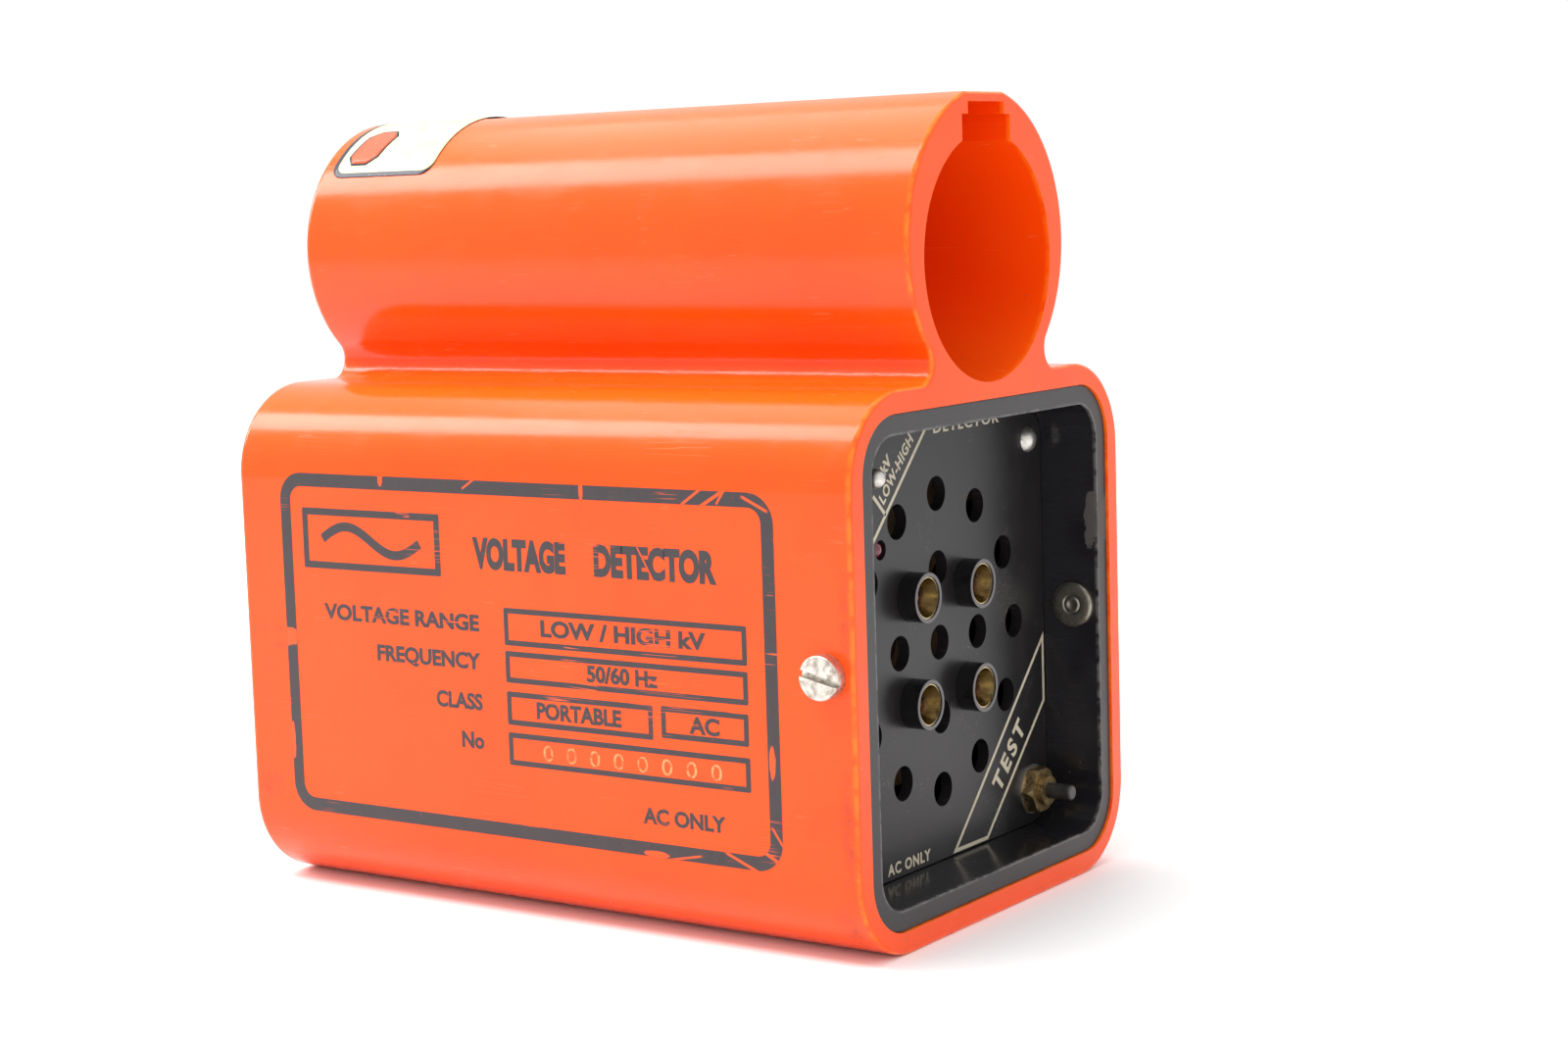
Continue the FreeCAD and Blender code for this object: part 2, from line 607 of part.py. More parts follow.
def make_range_bushing():
    bushing = ring(SWITCH_FRONT, PANEL_FRONT + RANGE_BUSHING_HEIGHT, RANGE_Y, RANGE_Z,
                   BUSHING_RADIUS, LEVER_BALL + RUNNING_GAP)
    return bushing.cut(pivot_rod(PIVOT_RADIUS + RUNNING_GAP, BUSHING_RADIUS))


def make_range_lever():
    """Ball on a cross pin, with a bat-shaped handle that widens to a round tip."""
    tip_centre = PANEL_FRONT + LEVER_REACH - LEVER_TIP
    meet = LEVER_PIVOT + sqrt(LEVER_BALL ** 2 - LEVER_NECK ** 2)
    ball_back = V(LEVER_PIVOT - LEVER_BALL, 0, 0)
    neck = V(meet, LEVER_NECK, 0)
    shoulder = V(tip_centre, LEVER_TIP, 0)
    tip = V(tip_centre + LEVER_TIP, 0, 0)
    tip_middle = V(tip_centre + LEVER_TIP * sqrt(0.5), LEVER_TIP * sqrt(0.5), 0)
    profile = Part.Wire([
        arc(ball_back, V(LEVER_PIVOT, LEVER_BALL, 0), neck), line(neck, shoulder),
        arc(shoulder, tip_middle, tip), line(tip, ball_back)])
    lever = Part.Face(profile).revolve(V(0, 0, 0), ALONG, 360)
    lever.translate(V(0, RANGE_Y, RANGE_Z))
    return lever.fuse(pivot_rod(PIVOT_RADIUS, BUSHING_RADIUS - PIVOT_END_GAP))


def make_washer(y, z):
    return ring(PANEL_FRONT, NUT_BACK, y, z, WASHER_RADIUS, BUSHING_RADIUS + RUNNING_GAP)


def make_nut(y, z):
    return hex_nut(NUT_BACK, NUT_BACK + NUT_THICKNESS, y, z, BUSHING_RADIUS + THREAD_GAP)


# ---- test switch
def make_test_body():
    half = TEST_BODY_SIDE / 2
    back = SWITCH_FRONT - SWITCH_DEPTH
    body = block(back, SWITCH_FRONT, TEST_Y - half, TEST_Y + half, TEST_Z - half, TEST_Z + half)
    body = body.cut(rod(back + SWITCH_WALL, SWITCH_FRONT, TEST_Y, TEST_Z, half - SWITCH_WALL))
    return body.fuse(switch_pins(TEST_Y, TEST_Z, 0))


def make_test_bushing():
    return ring(SWITCH_FRONT, PANEL_FRONT + TEST_BUSHING_HEIGHT, TEST_Y, TEST_Z,
                BUSHING_RADIUS, BUTTON_RADIUS + RUNNING_GAP)


def collar_back():
    return SWITCH_FRONT - 2 * RUNNING_GAP - BUTTON_COLLAR_THICKNESS


def make_test_button():
    tip = PANEL_FRONT + BUTTON_HEIGHT
    back = collar_back()
    stem = rod(back, tip, TEST_Y, TEST_Z, BUTTON_RADIUS)
    stem = stem.makeFillet(BUTTON_ROUND, end_edges(stem, tip))
    collar = rod(back, back + BUTTON_COLLAR_THICKNESS, TEST_Y, TEST_Z, BUTTON_COLLAR)
    guide = rod(back - BUTTON_TRAVEL, back, TEST_Y, TEST_Z, BUTTON_RADIUS)
    return stem.fuse(collar).fuse(guide)


def make_test_spring():
    """Compression coil between the switch's back wall and the button's collar."""
    start = SWITCH_FRONT - SWITCH_DEPTH + SWITCH_WALL + SPRING_WIRE
    length = collar_back() - SPRING_WIRE - start
    helix = Part.makeHelix(length / SPRING_TURNS, length, SPRING_RADIUS)
    profile = Part.Wire(Part.makeCircle(SPRING_WIRE, V(SPRING_RADIUS, 0, 0), V(0, 1, 0)))
    coil = Part.Wire(helix.Edges).makePipeShell([profile], True, True)
    coil.rotate(V(0, 0, 0), V(0, 1, 0), 90)
    coil.translate(V(start, TEST_Y, TEST_Z))
    return coil


# ---- side screws and their inserts, one pair on each side
def along_side(side, start, length, radius):
    """Cylinder along Y outwards on one side of the head."""
    return Part.makeCylinder(radius, length, V(SIDE_SCREW_X, side * start, SIDE_SCREW_Z),
                             V(0, side, 0))


def side_face():
    """Distance of the housing's side face from the middle at the side screws."""
    return housing_section(SIDE_SCREW_X + SCREW_HEAD_RADIUS)[0]


def make_side_screw(side):
    inner = CASE_HALF_WIDTH - RIM_THICKNESS - INSERT_PROUD + SCREW_TIP_SETBACK
    face = side_face()
    head = along_side(side, face, SCREW_HEAD_HEIGHT, SCREW_HEAD_RADIUS)
    top = face + SCREW_HEAD_HEIGHT
    rim = [e for e in head.Edges
           if all(abs(abs(y) - top) < SAME_PLACE for y in (e.BoundBox.YMin, e.BoundBox.YMax))]
    head = head.makeFillet(SCREW_HEAD_ROUND, rim)
    slot = block(-SCREW_HEAD_RADIUS, SCREW_HEAD_RADIUS, 0, SCREW_SLOT_DEPTH,
                 -SCREW_SLOT_WIDTH / 2, SCREW_SLOT_WIDTH / 2)
    slot.rotate(V(0, 0, 0), V(0, 1, 0), SCREW_SLOT_TURN)
    slot.translate(V(SIDE_SCREW_X, min(side * top, side * (top - SCREW_SLOT_DEPTH)), SIDE_SCREW_Z))
    shank = along_side(side, inner, face - inner, SCREW_RADIUS)
    return head.cut(slot).fuse(shank)


def make_side_insert(side):
    start = CASE_HALF_WIDTH - RIM_THICKNESS - INSERT_PROUD
    length = CASE_HALF_WIDTH - start
    insert = along_side(side, start, length, INSERT_RADIUS)
    return insert.cut(along_side(side, start, length, SCREW_RADIUS + THREAD_GAP))


# ---- lamp board and sounder
def make_lamp_board():
    half = LAMP_BOARD_SIDE / 2
    board = block(LAMP_BOARD_BACK, LAMP_BOARD_FRONT, -half, half, CENTRE_Z - half, CENTRE_Z + half)
    board = board.cut(rod(LAMP_BOARD_BACK, LAMP_BOARD_FRONT, 0, CENTRE_Z, BOARD_PORT_RADIUS))
    for side in (1, -1):
        board = board.cut(rod(LAMP_BOARD_BACK, LAMP_BOARD_FRONT, side * LAMP_POST_OFFSET,
                              CENTRE_Z + side * LAMP_POST_OFFSET, SMALL_SCREW_RADIUS + HOLE_GAP))
    return board


def make_lamp_board_posts():
    return Part.makeCompound([
        ring(LAMP_BOARD_FRONT, PANEL_BACK, side * LAMP_POST_OFFSET,
             CENTRE_Z + side * LAMP_POST_OFFSET, LAMP_POST_RADIUS, SMALL_SCREW_RADIUS + THREAD_GAP)
        for side in (1, -1)])


def small_screw(base, direction, grip):
    """Pan-head screw whose head sits on base and whose shank runs along direction."""
    head = Part.makeCylinder(SMALL_SCREW_HEAD, SMALL_SCREW_HEAD_HEIGHT, base, direction * -1)
    return head.fuse(Part.makeCylinder(SMALL_SCREW_RADIUS, grip, base, direction))


def make_lamp_board_screws():
    grip = BOARD_THICKNESS + LAMP_BOARD_GAP - SMALL_SCREW_END_GAP
    return Part.makeCompound([
        small_screw(V(LAMP_BOARD_BACK, side * LAMP_POST_OFFSET,
                      CENTRE_Z + side * LAMP_POST_OFFSET), ALONG, grip)
        for side in (1, -1)])


def make_sounder_gasket():
    return ring(SOUNDER_FRONT, LAMP_BOARD_BACK, 0, CENTRE_Z, GASKET_RADIUS, BOARD_PORT_RADIUS)


def make_sounder_case():
    """Cup with a port in its front wall and a step for the diaphragm."""
    inner = SOUNDER_RADIUS - SOUNDER_WALL
    case = rod(SOUNDER_BACK, SOUNDER_FRONT, 0, CENTRE_Z, SOUNDER_RADIUS)
    seat = SOUNDER_FRONT - DIAPHRAGM_SETBACK
    case = case.cut(rod(SOUNDER_BACK, seat, 0, CENTRE_Z, inner))
    case = case.cut(rod(seat, SOUNDER_FRONT - SOUNDER_WALL, 0, CENTRE_Z, inner - SOUNDER_WALL))
    return case.cut(rod(seat, SOUNDER_FRONT, 0, CENTRE_Z, BOARD_PORT_RADIUS - SOUNDER_WALL))


def make_sounder_diaphragm():
    seat = SOUNDER_FRONT - DIAPHRAGM_SETBACK
    radius = SOUNDER_RADIUS - SOUNDER_WALL - RUNNING_GAP
    return rod(seat - DIAPHRAGM_THICKNESS, seat, 0, CENTRE_Z, radius)


def make_sounder_back():
    """Back cap pressed into the sounder's cup, with a ring that clamps the diaphragm."""
    radius = SOUNDER_RADIUS - SOUNDER_WALL - RUNNING_GAP
    seat = SOUNDER_FRONT - DIAPHRAGM_SETBACK - DIAPHRAGM_THICKNESS
    cap = rod(SOUNDER_BACK, seat, 0, CENTRE_Z, radius)
    return cap.cut(rod(SOUNDER_BACK + SOUNDER_WALL, seat, 0, CENTRE_Z, radius - SOUNDER_WALL))


# ---- main board and its parts
def board_corners():
    """Standoff places (x, z) on the main board."""
    low_x = MAIN_BOARD_X + STANDOFF_INSET
    high_x = MAIN_BOARD_X + MAIN_BOARD_LENGTH - STANDOFF_INSET
    low_z = MAIN_BOARD_Z + STANDOFF_INSET
    high_z = MAIN_BOARD_Z + MAIN_BOARD_HEIGHT - STANDOFF_INSET
    return [(x, z) for x in (low_x, high_x) for z in (low_z, high_z)]


def make_main_board():
    board = block(MAIN_BOARD_X, MAIN_BOARD_X + MAIN_BOARD_LENGTH, MAIN_BOARD_Y, BOARD_FACE,
                  MAIN_BOARD_Z, MAIN_BOARD_Z + MAIN_BOARD_HEIGHT)
    for x, z in board_corners():
        board = board.cut(Part.makeCylinder(SMALL_SCREW_RADIUS + HOLE_GAP, BOARD_THICKNESS,
                                            V(x, MAIN_BOARD_Y, z), V(0, 1, 0)))
    return board


def make_board_standoffs():
    posts = []
    for x, z in board_corners():
        foot = V(x, -CHAMBER_HALF_WIDTH, z)
        post = Part.makeCylinder(STANDOFF_RADIUS, MAIN_BOARD_OFFSET, foot, V(0, 1, 0))
        hole = Part.makeCylinder(SMALL_SCREW_RADIUS + THREAD_GAP, MAIN_BOARD_OFFSET, foot,
                                 V(0, 1, 0))
        posts.append(post.cut(hole))
    return Part.makeCompound(posts)


def make_board_screws():
    grip = BOARD_THICKNESS + MAIN_BOARD_OFFSET - SMALL_SCREW_END_GAP
    return Part.makeCompound([
        small_screw(V(x, BOARD_FACE, z), V(0, -1, 0), grip) for x, z in board_corners()])


def on_board(x, z, size_x, size_z, height):
    """Block standing on the main board; x and z are measured from the board's lower back corner."""
    x0 = MAIN_BOARD_X + x
    z0 = MAIN_BOARD_Z + z
    return block(x0, x0 + size_x, BOARD_FACE, BOARD_FACE + height, z0, z0 + size_z)


def make_chips():
    return Part.makeCompound([
        on_board(x, z, CHIP_LENGTH, CHIP_WIDTH, CHIP_HEIGHT) for x, z in CHIP_PLACES])


def make_capacitors():
    cans = []
    for x, z in CAPACITOR_PLACES:
        foot = V(MAIN_BOARD_X + x, BOARD_FACE, MAIN_BOARD_Z + z)
        can = Part.makeCylinder(CAPACITOR_RADIUS, CAPACITOR_HEIGHT, foot, V(0, 1, 0))
        end = BOARD_FACE + CAPACITOR_HEIGHT
        top = [e for e in can.Edges if abs(e.BoundBox.YMin - end) < SAME_PLACE]
        cans.append(can.makeFillet(CAPACITOR_ROUND, top))
    return Part.makeCompound(cans)


def make_resistors():
    return Part.makeCompound([
        Part.makeCylinder(RESISTOR_RADIUS, RESISTOR_LENGTH,
                          V(MAIN_BOARD_X + RESISTOR_START, BOARD_FACE + RESISTOR_RADIUS,
                            MAIN_BOARD_Z + RESISTOR_FIRST + k * RESISTOR_PITCH), ALONG)
        for k in range(RESISTOR_COUNT)])


def make_trimmer():
    body = on_board(*TRIMMER_PLACE, TRIMMER_SIDE, TRIMMER_SIDE, TRIMMER_HEIGHT)
    middle = body.BoundBox.Center
    screw = Part.makeCylinder(TRIMMER_SCREW_RADIUS, TRIMMER_SCREW_RISE,
                              V(middle.x, BOARD_FACE + TRIMMER_HEIGHT, middle.z), V(0, 1, 0))
    return body.fuse(screw)


def lead_places():
    """Heights of the two battery leads."""
    middle = BATTERY_Z + BATTERY_THICKNESS / 2 + LEAD_RISE
    return {"red": middle + LEAD_SPACING / 2, "black": middle - LEAD_SPACING / 2}


def make_lead_header():
    """Socket on the main board where the battery leads end."""
    x = SNAP_X + SNAP_PLATE + LEAD_RUN
    heights = lead_places().values()
    return block(x - LEAD_SPACING / 2, x + LEAD_SPACING / 2, BOARD_FACE, BOARD_FACE + HEADER_HEIGHT,
                 min(heights) - LEAD_SPACING / 2, max(heights) + LEAD_SPACING / 2)


# ---- battery
def make_battery():
    half = BATTERY_WIDTH / 2
    cell = block(BATTERY_X, BATTERY_X + BATTERY_LENGTH, BATTERY_SIDE - half, BATTERY_SIDE + half,
                 BATTERY_Z, BATTERY_Z + BATTERY_THICKNESS)
    long_edges = [e for e in cell.Edges if e.BoundBox.XLength > BATTERY_LENGTH - SAME_PLACE]
    cell = cell.makeFillet(BATTERY_ROUND, long_edges)
    middle = BATTERY_Z + BATTERY_THICKNESS / 2
    end = BATTERY_X + BATTERY_LENGTH
    for side, radius in ((-1, SNAP_STUD_RADIUS), (1, SNAP_SOCKET_RADIUS)):
        y = BATTERY_SIDE + side * SNAP_PITCH / 2
        cell = cell.fuse(rod(end, end + SNAP_HEIGHT, y, middle, radius))
    return cell


def make_battery_tray():
    half = BATTERY_WIDTH / 2 + TRAY_GAP
    outer = block(BATTERY_X, BATTERY_X + BATTERY_LENGTH, BATTERY_SIDE - half - TRAY_WALL,
                  BATTERY_SIDE + half + TRAY_WALL, TRAY_FLOOR, TRAY_FLOOR + TRAY_RISE)
    return outer.cut(block(BATTERY_X, BATTERY_X + BATTERY_LENGTH, BATTERY_SIDE - half,
                           BATTERY_SIDE + half, TRAY_FLOOR + TRAY_WALL, TRAY_FLOOR + TRAY_RISE))


def make_battery_snap():
    half_y = SNAP_PITCH
    half_z = BATTERY_THICKNESS / 2 - BATTERY_ROUND
    middle = BATTERY_Z + BATTERY_THICKNESS / 2
    return block(SNAP_X, SNAP_X + SNAP_PLATE, BATTERY_SIDE - half_y, BATTERY_SIDE + half_y,
                 middle - half_z, middle + half_z)


def make_lead(height):
    """Battery lead: out of the snap along X, one bend, then across to the header."""
    start = V(SNAP_X + SNAP_PLATE, BATTERY_SIDE, height)
    corner = V(start.x + LEAD_RUN, BATTERY_SIDE, height)
    end = V(corner.x, BOARD_FACE + HEADER_HEIGHT, height)
    before = corner - V(LEAD_BEND, 0, 0)
    after = corner - V(0, LEAD_BEND, 0)
    inset = LEAD_BEND * (1 - sqrt(0.5))
    path = Part.Wire([line(start, before), arc(before, corner - V(inset, inset, 0), after),
                      line(after, end)])
    profile = Part.Wire(Part.makeCircle(LEAD_RADIUS, start, ALONG))
    return path.makePipeShell([profile], True, True)


# ---- sensing plate at the back
def make_sensing_plate():
    half = PLATE_SIDE / 2
    back = CHAMBER_BACK + PLATE_STANDOFF
    return block(back, back + PLATE_THICKNESS, -half, half, CENTRE_Z - half, CENTRE_Z + half)


def make_plate_spacers():
    return Part.makeCompound([
        rod(CHAMBER_BACK, CHAMBER_BACK + PLATE_STANDOFF, side * PLATE_SPACER_OFFSET,
            CENTRE_Z + side * PLATE_SPACER_OFFSET, PLATE_SPACER_RADIUS)
        for side in (1, -1)])


def make_all():
    pieces = {
        "housing": make_housing(),
        "module_case": make_module_case(),
        "rim_seal": make_rim_seal(),
        "front_panel": make_front_panel(),
        "panel_screws": make_panel_screws(),
        "lamp_reflectors": make_reflectors(),
        "power_lamp": make_power_lamp(),
        "range_switch_body": make_range_body(),
        "range_switch_bushing": make_range_bushing(),
        "range_switch_washer": make_washer(RANGE_Y, RANGE_Z),
        "range_switch_nut": make_nut(RANGE_Y, RANGE_Z),
        "range_lever": make_range_lever(),
        "test_switch_body": make_test_body(),
        "test_switch_bushing": make_test_bushing(),
        "test_switch_washer": make_washer(TEST_Y, TEST_Z),
        "test_switch_nut": make_nut(TEST_Y, TEST_Z),
        "test_button": make_test_button(),
        "test_button_spring": make_test_spring(),
        "lamp_board": make_lamp_board(),
        "lamp_board_posts": make_lamp_board_posts(),
        "lamp_board_screws": make_lamp_board_screws(),
        "sounder_gasket": make_sounder_gasket(),
        "sounder_case": make_sounder_case(),
        "sounder_diaphragm": make_sounder_diaphragm(),
        "sounder_back": make_sounder_back(),
        "main_board": make_main_board(),
        "board_standoffs": make_board_standoffs(),
        "board_screws": make_board_screws(),
        "chips": make_chips(),
        "capacitors": make_capacitors(),
        "resistors": make_resistors(),
        "trimmer": make_trimmer(),
        "lead_header": make_lead_header(),
        "battery": make_battery(),
        "battery_tray": make_battery_tray(),
        "battery_snap": make_battery_snap(),
        "sensing_plate": make_sensing_plate(),
        "plate_spacers": make_plate_spacers(),
    }
    for place, angle in LAMP_PLACES.items():
        pieces["hood_" + place] = make_hood(*polar(INNER_RING, angle))
        pieces["lamp_" + place] = make_lamp(*polar(INNER_RING, angle))
    for name, side in (("left", -1), ("right", 1)):
        pieces["side_screw_" + name] = make_side_screw(side)
        pieces["side_insert_" + name] = make_side_insert(side)
    for colour, height in lead_places().items():
        pieces["battery_lead_" + colour] = make_lead(height)
    return pieces


os.makedirs("parts", exist_ok=True)
for name, shape in make_all().items():
    if not shape.isValid():
        raise ValueError(name + " is not a valid solid")
    shape.exportStep("parts/" + name + ".step")
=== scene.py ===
"""Looks for the head of a stick-mounted voltage detector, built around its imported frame."""
import json
from math import cos, pi, radians, sin, sqrt

import bmesh
import bpy
from bpy.props import FloatProperty, FloatVectorProperty, PointerProperty
from mathutils import Matrix, Vector


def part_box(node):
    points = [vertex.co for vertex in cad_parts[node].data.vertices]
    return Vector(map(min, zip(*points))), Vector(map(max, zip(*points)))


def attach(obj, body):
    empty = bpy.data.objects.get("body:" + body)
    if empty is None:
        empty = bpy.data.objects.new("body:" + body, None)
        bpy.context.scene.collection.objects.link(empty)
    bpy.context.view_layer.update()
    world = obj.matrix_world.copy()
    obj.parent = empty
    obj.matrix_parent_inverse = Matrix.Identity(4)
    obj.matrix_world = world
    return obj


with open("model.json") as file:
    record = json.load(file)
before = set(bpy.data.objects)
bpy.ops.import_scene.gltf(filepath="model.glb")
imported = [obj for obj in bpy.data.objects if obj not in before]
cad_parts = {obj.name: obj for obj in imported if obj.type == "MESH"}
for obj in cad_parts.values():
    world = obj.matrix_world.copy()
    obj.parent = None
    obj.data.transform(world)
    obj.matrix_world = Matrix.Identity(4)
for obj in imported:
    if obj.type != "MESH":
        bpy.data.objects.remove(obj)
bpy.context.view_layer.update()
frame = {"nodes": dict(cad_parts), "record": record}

bl_info = {
    "name": "Voltage Detector Head",
    "version": (1, 0, 0),
    "blender": (4, 5, 0),
    "location": "View3D > Sidebar > Detector",
    "description": "Finishes, prints and small parts of a stick-mounted voltage detector head",
    "category": "Object",
}

MM = 0.001
BODY = "detector"
NODES = frame["nodes"]

# ---- places read from the frame, in millimetres


def box_mm(node):
    """Lowest and highest corner of a CAD node in millimetres."""
    low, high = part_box(node)
    return low / MM, high / MM


HOUSING_LOW, HOUSING_HIGH = box_mm("housing")
PANEL_LOW, PANEL_HIGH = box_mm("front_panel")
CASE_LOW, CASE_HIGH = box_mm("module_case")
FRONT = HOUSING_HIGH.x
BACK = HOUSING_LOW.x
LENGTH = FRONT - BACK
RIM_FRONT = CASE_HIGH.x
PANEL_FRONT = PANEL_HIGH.x
CENTRE_Z = (PANEL_LOW.z + PANEL_HIGH.z) / 2
RIM_WIDTH = 3.05
RECESS_HALF_WIDTH = CASE_HIGH.y - RIM_WIDTH
RECESS_HALF_HEIGHT = (CASE_HIGH.z - CASE_LOW.z) / 2 - RIM_WIDTH
RECESS_CORNER = 5.9
BORE_Z = frame["record"]["mounts"][0]["pos_m"][2] / MM
FRONT_HALF_WIDTH = HOUSING_HIGH.y
SIDE_DRAFT = 0.6
BACK_HALF_WIDTH = FRONT_HALF_WIDTH - SIDE_DRAFT
PRINT_SINK = 0.02  # how far a print reaches below the surface that it lies on
LAMP_PLACES = ("upper_left", "upper_right", "lower_left", "lower_right")


def middle(node):
    """Middle of a node's box across the stick, as (y, z) in millimetres."""
    low, high = box_mm(node)
    return (low.y + high.y) / 2, (low.z + high.z) / 2


# ---- shader maths


def math_method(operation, swapped=False):
    """A method that adds one Math node; swapped puts the value itself second."""
    def method(self, *others):
        numbers = (*others, self) if swapped else (self, *others)
        return self.finish.node("ShaderNodeMath", {"operation": operation},
                                dict(enumerate(numbers)))
    return method


class Value:
    """A number that changes over a surface. Arithmetic on it adds Math nodes."""

    def __init__(self, finish, socket):
        self.finish = finish
        self.socket = socket

    __add__ = __radd__ = math_method("ADD")
    __sub__ = math_method("SUBTRACT")
    __rsub__ = math_method("SUBTRACT", swapped=True)
    __mul__ = __rmul__ = math_method("MULTIPLY")
    __truediv__ = math_method("DIVIDE")
    __pow__ = math_method("POWER")
    __abs__ = math_method("ABSOLUTE")
    least = math_method("MINIMUM")
    most = math_method("MAXIMUM")

    def clamp(self):
        return self.least(1.0).most(0.0)

    def rise(self, low, high):
        """0 below low, 1 above high and a smooth step between; low may be above high."""
        settings = {"interpolation_type": "SMOOTHSTEP"}
        if low < high:
            return self.finish.node("ShaderNodeMapRange", settings, {0: self, 1: low, 2: high})
        return 1.0 - self.rise(high, low)

    def near(self, place, reach):
        """1 at place, falling to 0 at reach away from it."""
        return abs(self - place).rise(reach, 0.0)


class Finish:
    """A procedural material: its nodes, its coordinates in millimetres and its main shader."""

    def __init__(self, name, **constants):
        self.material = bpy.data.materials.new(name)
        self.material.use_nodes = True
        self.tree = self.material.node_tree
        self.shader = next(n for n in self.tree.nodes if n.type == "BSDF_PRINCIPLED")
        for socket, value in constants.items():
            label = socket.replace("_", " ").title().replace("Ior", "IOR")
            self.shader.inputs[label].default_value = value
        place = self.node("ShaderNodeTexCoord", output="Object")
        self.place = self.vector("SCALE", place, scale=1 / MM)
        self.x, self.y, self.z = (
            self.node("ShaderNodeSeparateXYZ", {}, {0: self.place}, output=axis) for axis in "XYZ")

    def node(self, kind, settings=None, inputs=None, output=0):
        """Adds a node: settings first, then values or links, and returns one output."""
        made = self.tree.nodes.new(kind)
        for name, value in (settings or {}).items():
            setattr(made, name, value)
        for name, value in (inputs or {}).items():
            if isinstance(value, Value):
                self.tree.links.new(value.socket, made.inputs[name])
            else:
                made.inputs[name].default_value = value
        return Value(self, made.outputs[output])

    def vector(self, operation, first, second=None, scale=None):
        inputs = {0: first, 1: second, "Scale": scale}
        inputs = {name: value for name, value in inputs.items() if value is not None}
        return self.node("ShaderNodeVectorMath", {"operation": operation}, inputs)

    def noise(self, scale, detail=2.0, roughness=0.5, place=None, offset=0.0):
        """Noise from about 0 to 1; scale is in features per millimetre."""
        place = place or self.place
        if offset:
            place = self.vector("ADD", place, (offset, offset * 0.7, -offset))
        inputs = {"Vector": place, "Scale": scale, "Detail": detail, "Roughness": roughness}
        return self.node("ShaderNodeTexNoise", {"noise_dimensions": "3D"}, inputs)

    def stretched(self, turn, stretch):
        """Coordinates turned by three angles and squeezed along X, for marks with a direction."""
        inputs = {"Vector": self.place, "Rotation": [radians(a) for a in turn],
                  "Scale": (1 / stretch, 1.0, 1.0)}
        return self.node("ShaderNodeMapping", {"vector_type": "POINT"}, inputs)

    def scratches(self, turn, scale, width, stretch=30.0, share=0.55, offset=0.0):
        """Thin broken lines: contours of a stretched noise, kept only in patches."""
        lines = self.noise(scale, 1.0, 0.4, self.stretched(turn, stretch), offset)
        patches = self.noise(0.09, 2.0, 0.6, None, offset + 13.0).rise(share, share + 0.08)
        return abs(lines - 0.5).rise(width, width * 0.3) * patches

    def specks(self, scale, size, share, offset=0.0):
        """Small round marks: centres of a random lattice's cells, kept by each cell's colour."""
        place = self.vector("ADD", self.place, (offset, offset, offset))
        settings = {"feature": "F1"}
        inputs = {"Vector": place, "Scale": scale}
        distance = self.node("ShaderNodeTexVoronoi", settings, inputs, output="Distance")
        colour = self.node("ShaderNodeTexVoronoi", settings, inputs, output="Color")
        lottery = self.node("ShaderNodeSeparateXYZ", {}, {0: colour}, output="X")
        return distance.rise(size, size * 0.4) * lottery.rise(1 - share, 1 - share + 0.02)

    def mix(self, factor, first, second):
        """Colour mix: first where factor is 0 and second where it is 1."""
        made = self.tree.nodes.new("ShaderNodeMix")
        made.data_type = "RGBA"
        for index, value in ((0, factor), (6, first), (7, second)):
            if isinstance(value, Value):
                self.tree.links.new(value.socket, made.inputs[index])
            elif index == 0:
                made.inputs[index].default_value = value
            else:
                made.inputs[index].default_value = (*value, 1.0)
        return Value(self, made.outputs[2])

    def normal_axis(self, axis):
        """One part of the surface's direction, from -1 to 1."""
        direction = self.node("ShaderNodeNewGeometry", output="Normal")
        return self.node("ShaderNodeSeparateXYZ", {}, {0: direction}, output=axis)

    def bump(self, height, depth):
        """Feeds a Bump node whose height is in millimetres times depth into the shader."""
        inputs = {"Strength": 1.0, "Distance": depth * MM, "Height": height}
        made = self.node("ShaderNodeBump", {}, inputs)
        self.tree.links.new(made.socket, self.shader.inputs["Normal"])

    def set(self, **links):
        """Links what changes over the surface to the shader's sockets."""
        for name, value in links.items():
            self.tree.links.new(value.socket, self.shader.inputs[name.replace("_", " ").title()])
        return self.material


def spot(finish, across, up, place, reach):
    """Soft round patch on the side's plane, with its half sizes across and up."""
    u = finish.x - place[0]
    v = finish.z - place[1]
    return (u * u / across ** 2 + v * v / up ** 2).rise(reach, 0.0)


# ---- finishes

# worn and dirty places of the orange moulding on the printed side: (x, z) and half sizes, in mm
RUBBED = (((-51.0, 42.5), 3.2, 1.9), ((-29.0, 69.4), 0.6, 1.6), ((12.0, 69.0), 0.5, 2.0),
          ((24.0, 13.9), 3.0, 0.6), ((46.0, 30.0), 0.7, 3.0), ((-51.0, 25.0), 0.5, 4.0))
# single deep scrapes across the print: start, end and half width
SCRAPES = (((30.5, 67.2), (35.5, 70.6), 0.28), ((33.8, 67.0), (39.6, 70.4), 0.34),
           ((37.2, 67.6), (39.0, 70.2), 0.25), ((41.5, 69.3), (46.8, 66.9), 0.30),
           ((36.5, 15.8), (43.5, 13.0), 0.30), ((43.0, 17.0), (47.8, 14.4), 0.36),
           ((45.4, 20.5), (47.9, 17.0), 0.25), ((26.0, 13.2), (33.0, 14.6), 0.22),
           ((20.5, 64.0), (27.5, 52.0), 0.16), ((-12.0, 68.2), (-8.5, 70.4), 0.22))
SMUDGED = (((-55.6, 43.4), 4.8, 1.0), ((-56.5, 17.0), 3.4, 2.6), ((-53.0, 41.0), 2.0, 0.9),
           ((59.0, 20.0), 1.6, 12.0), ((59.4, 52.0), 1.2, 9.0), ((57.5, 6.0), 3.5, 4.0))


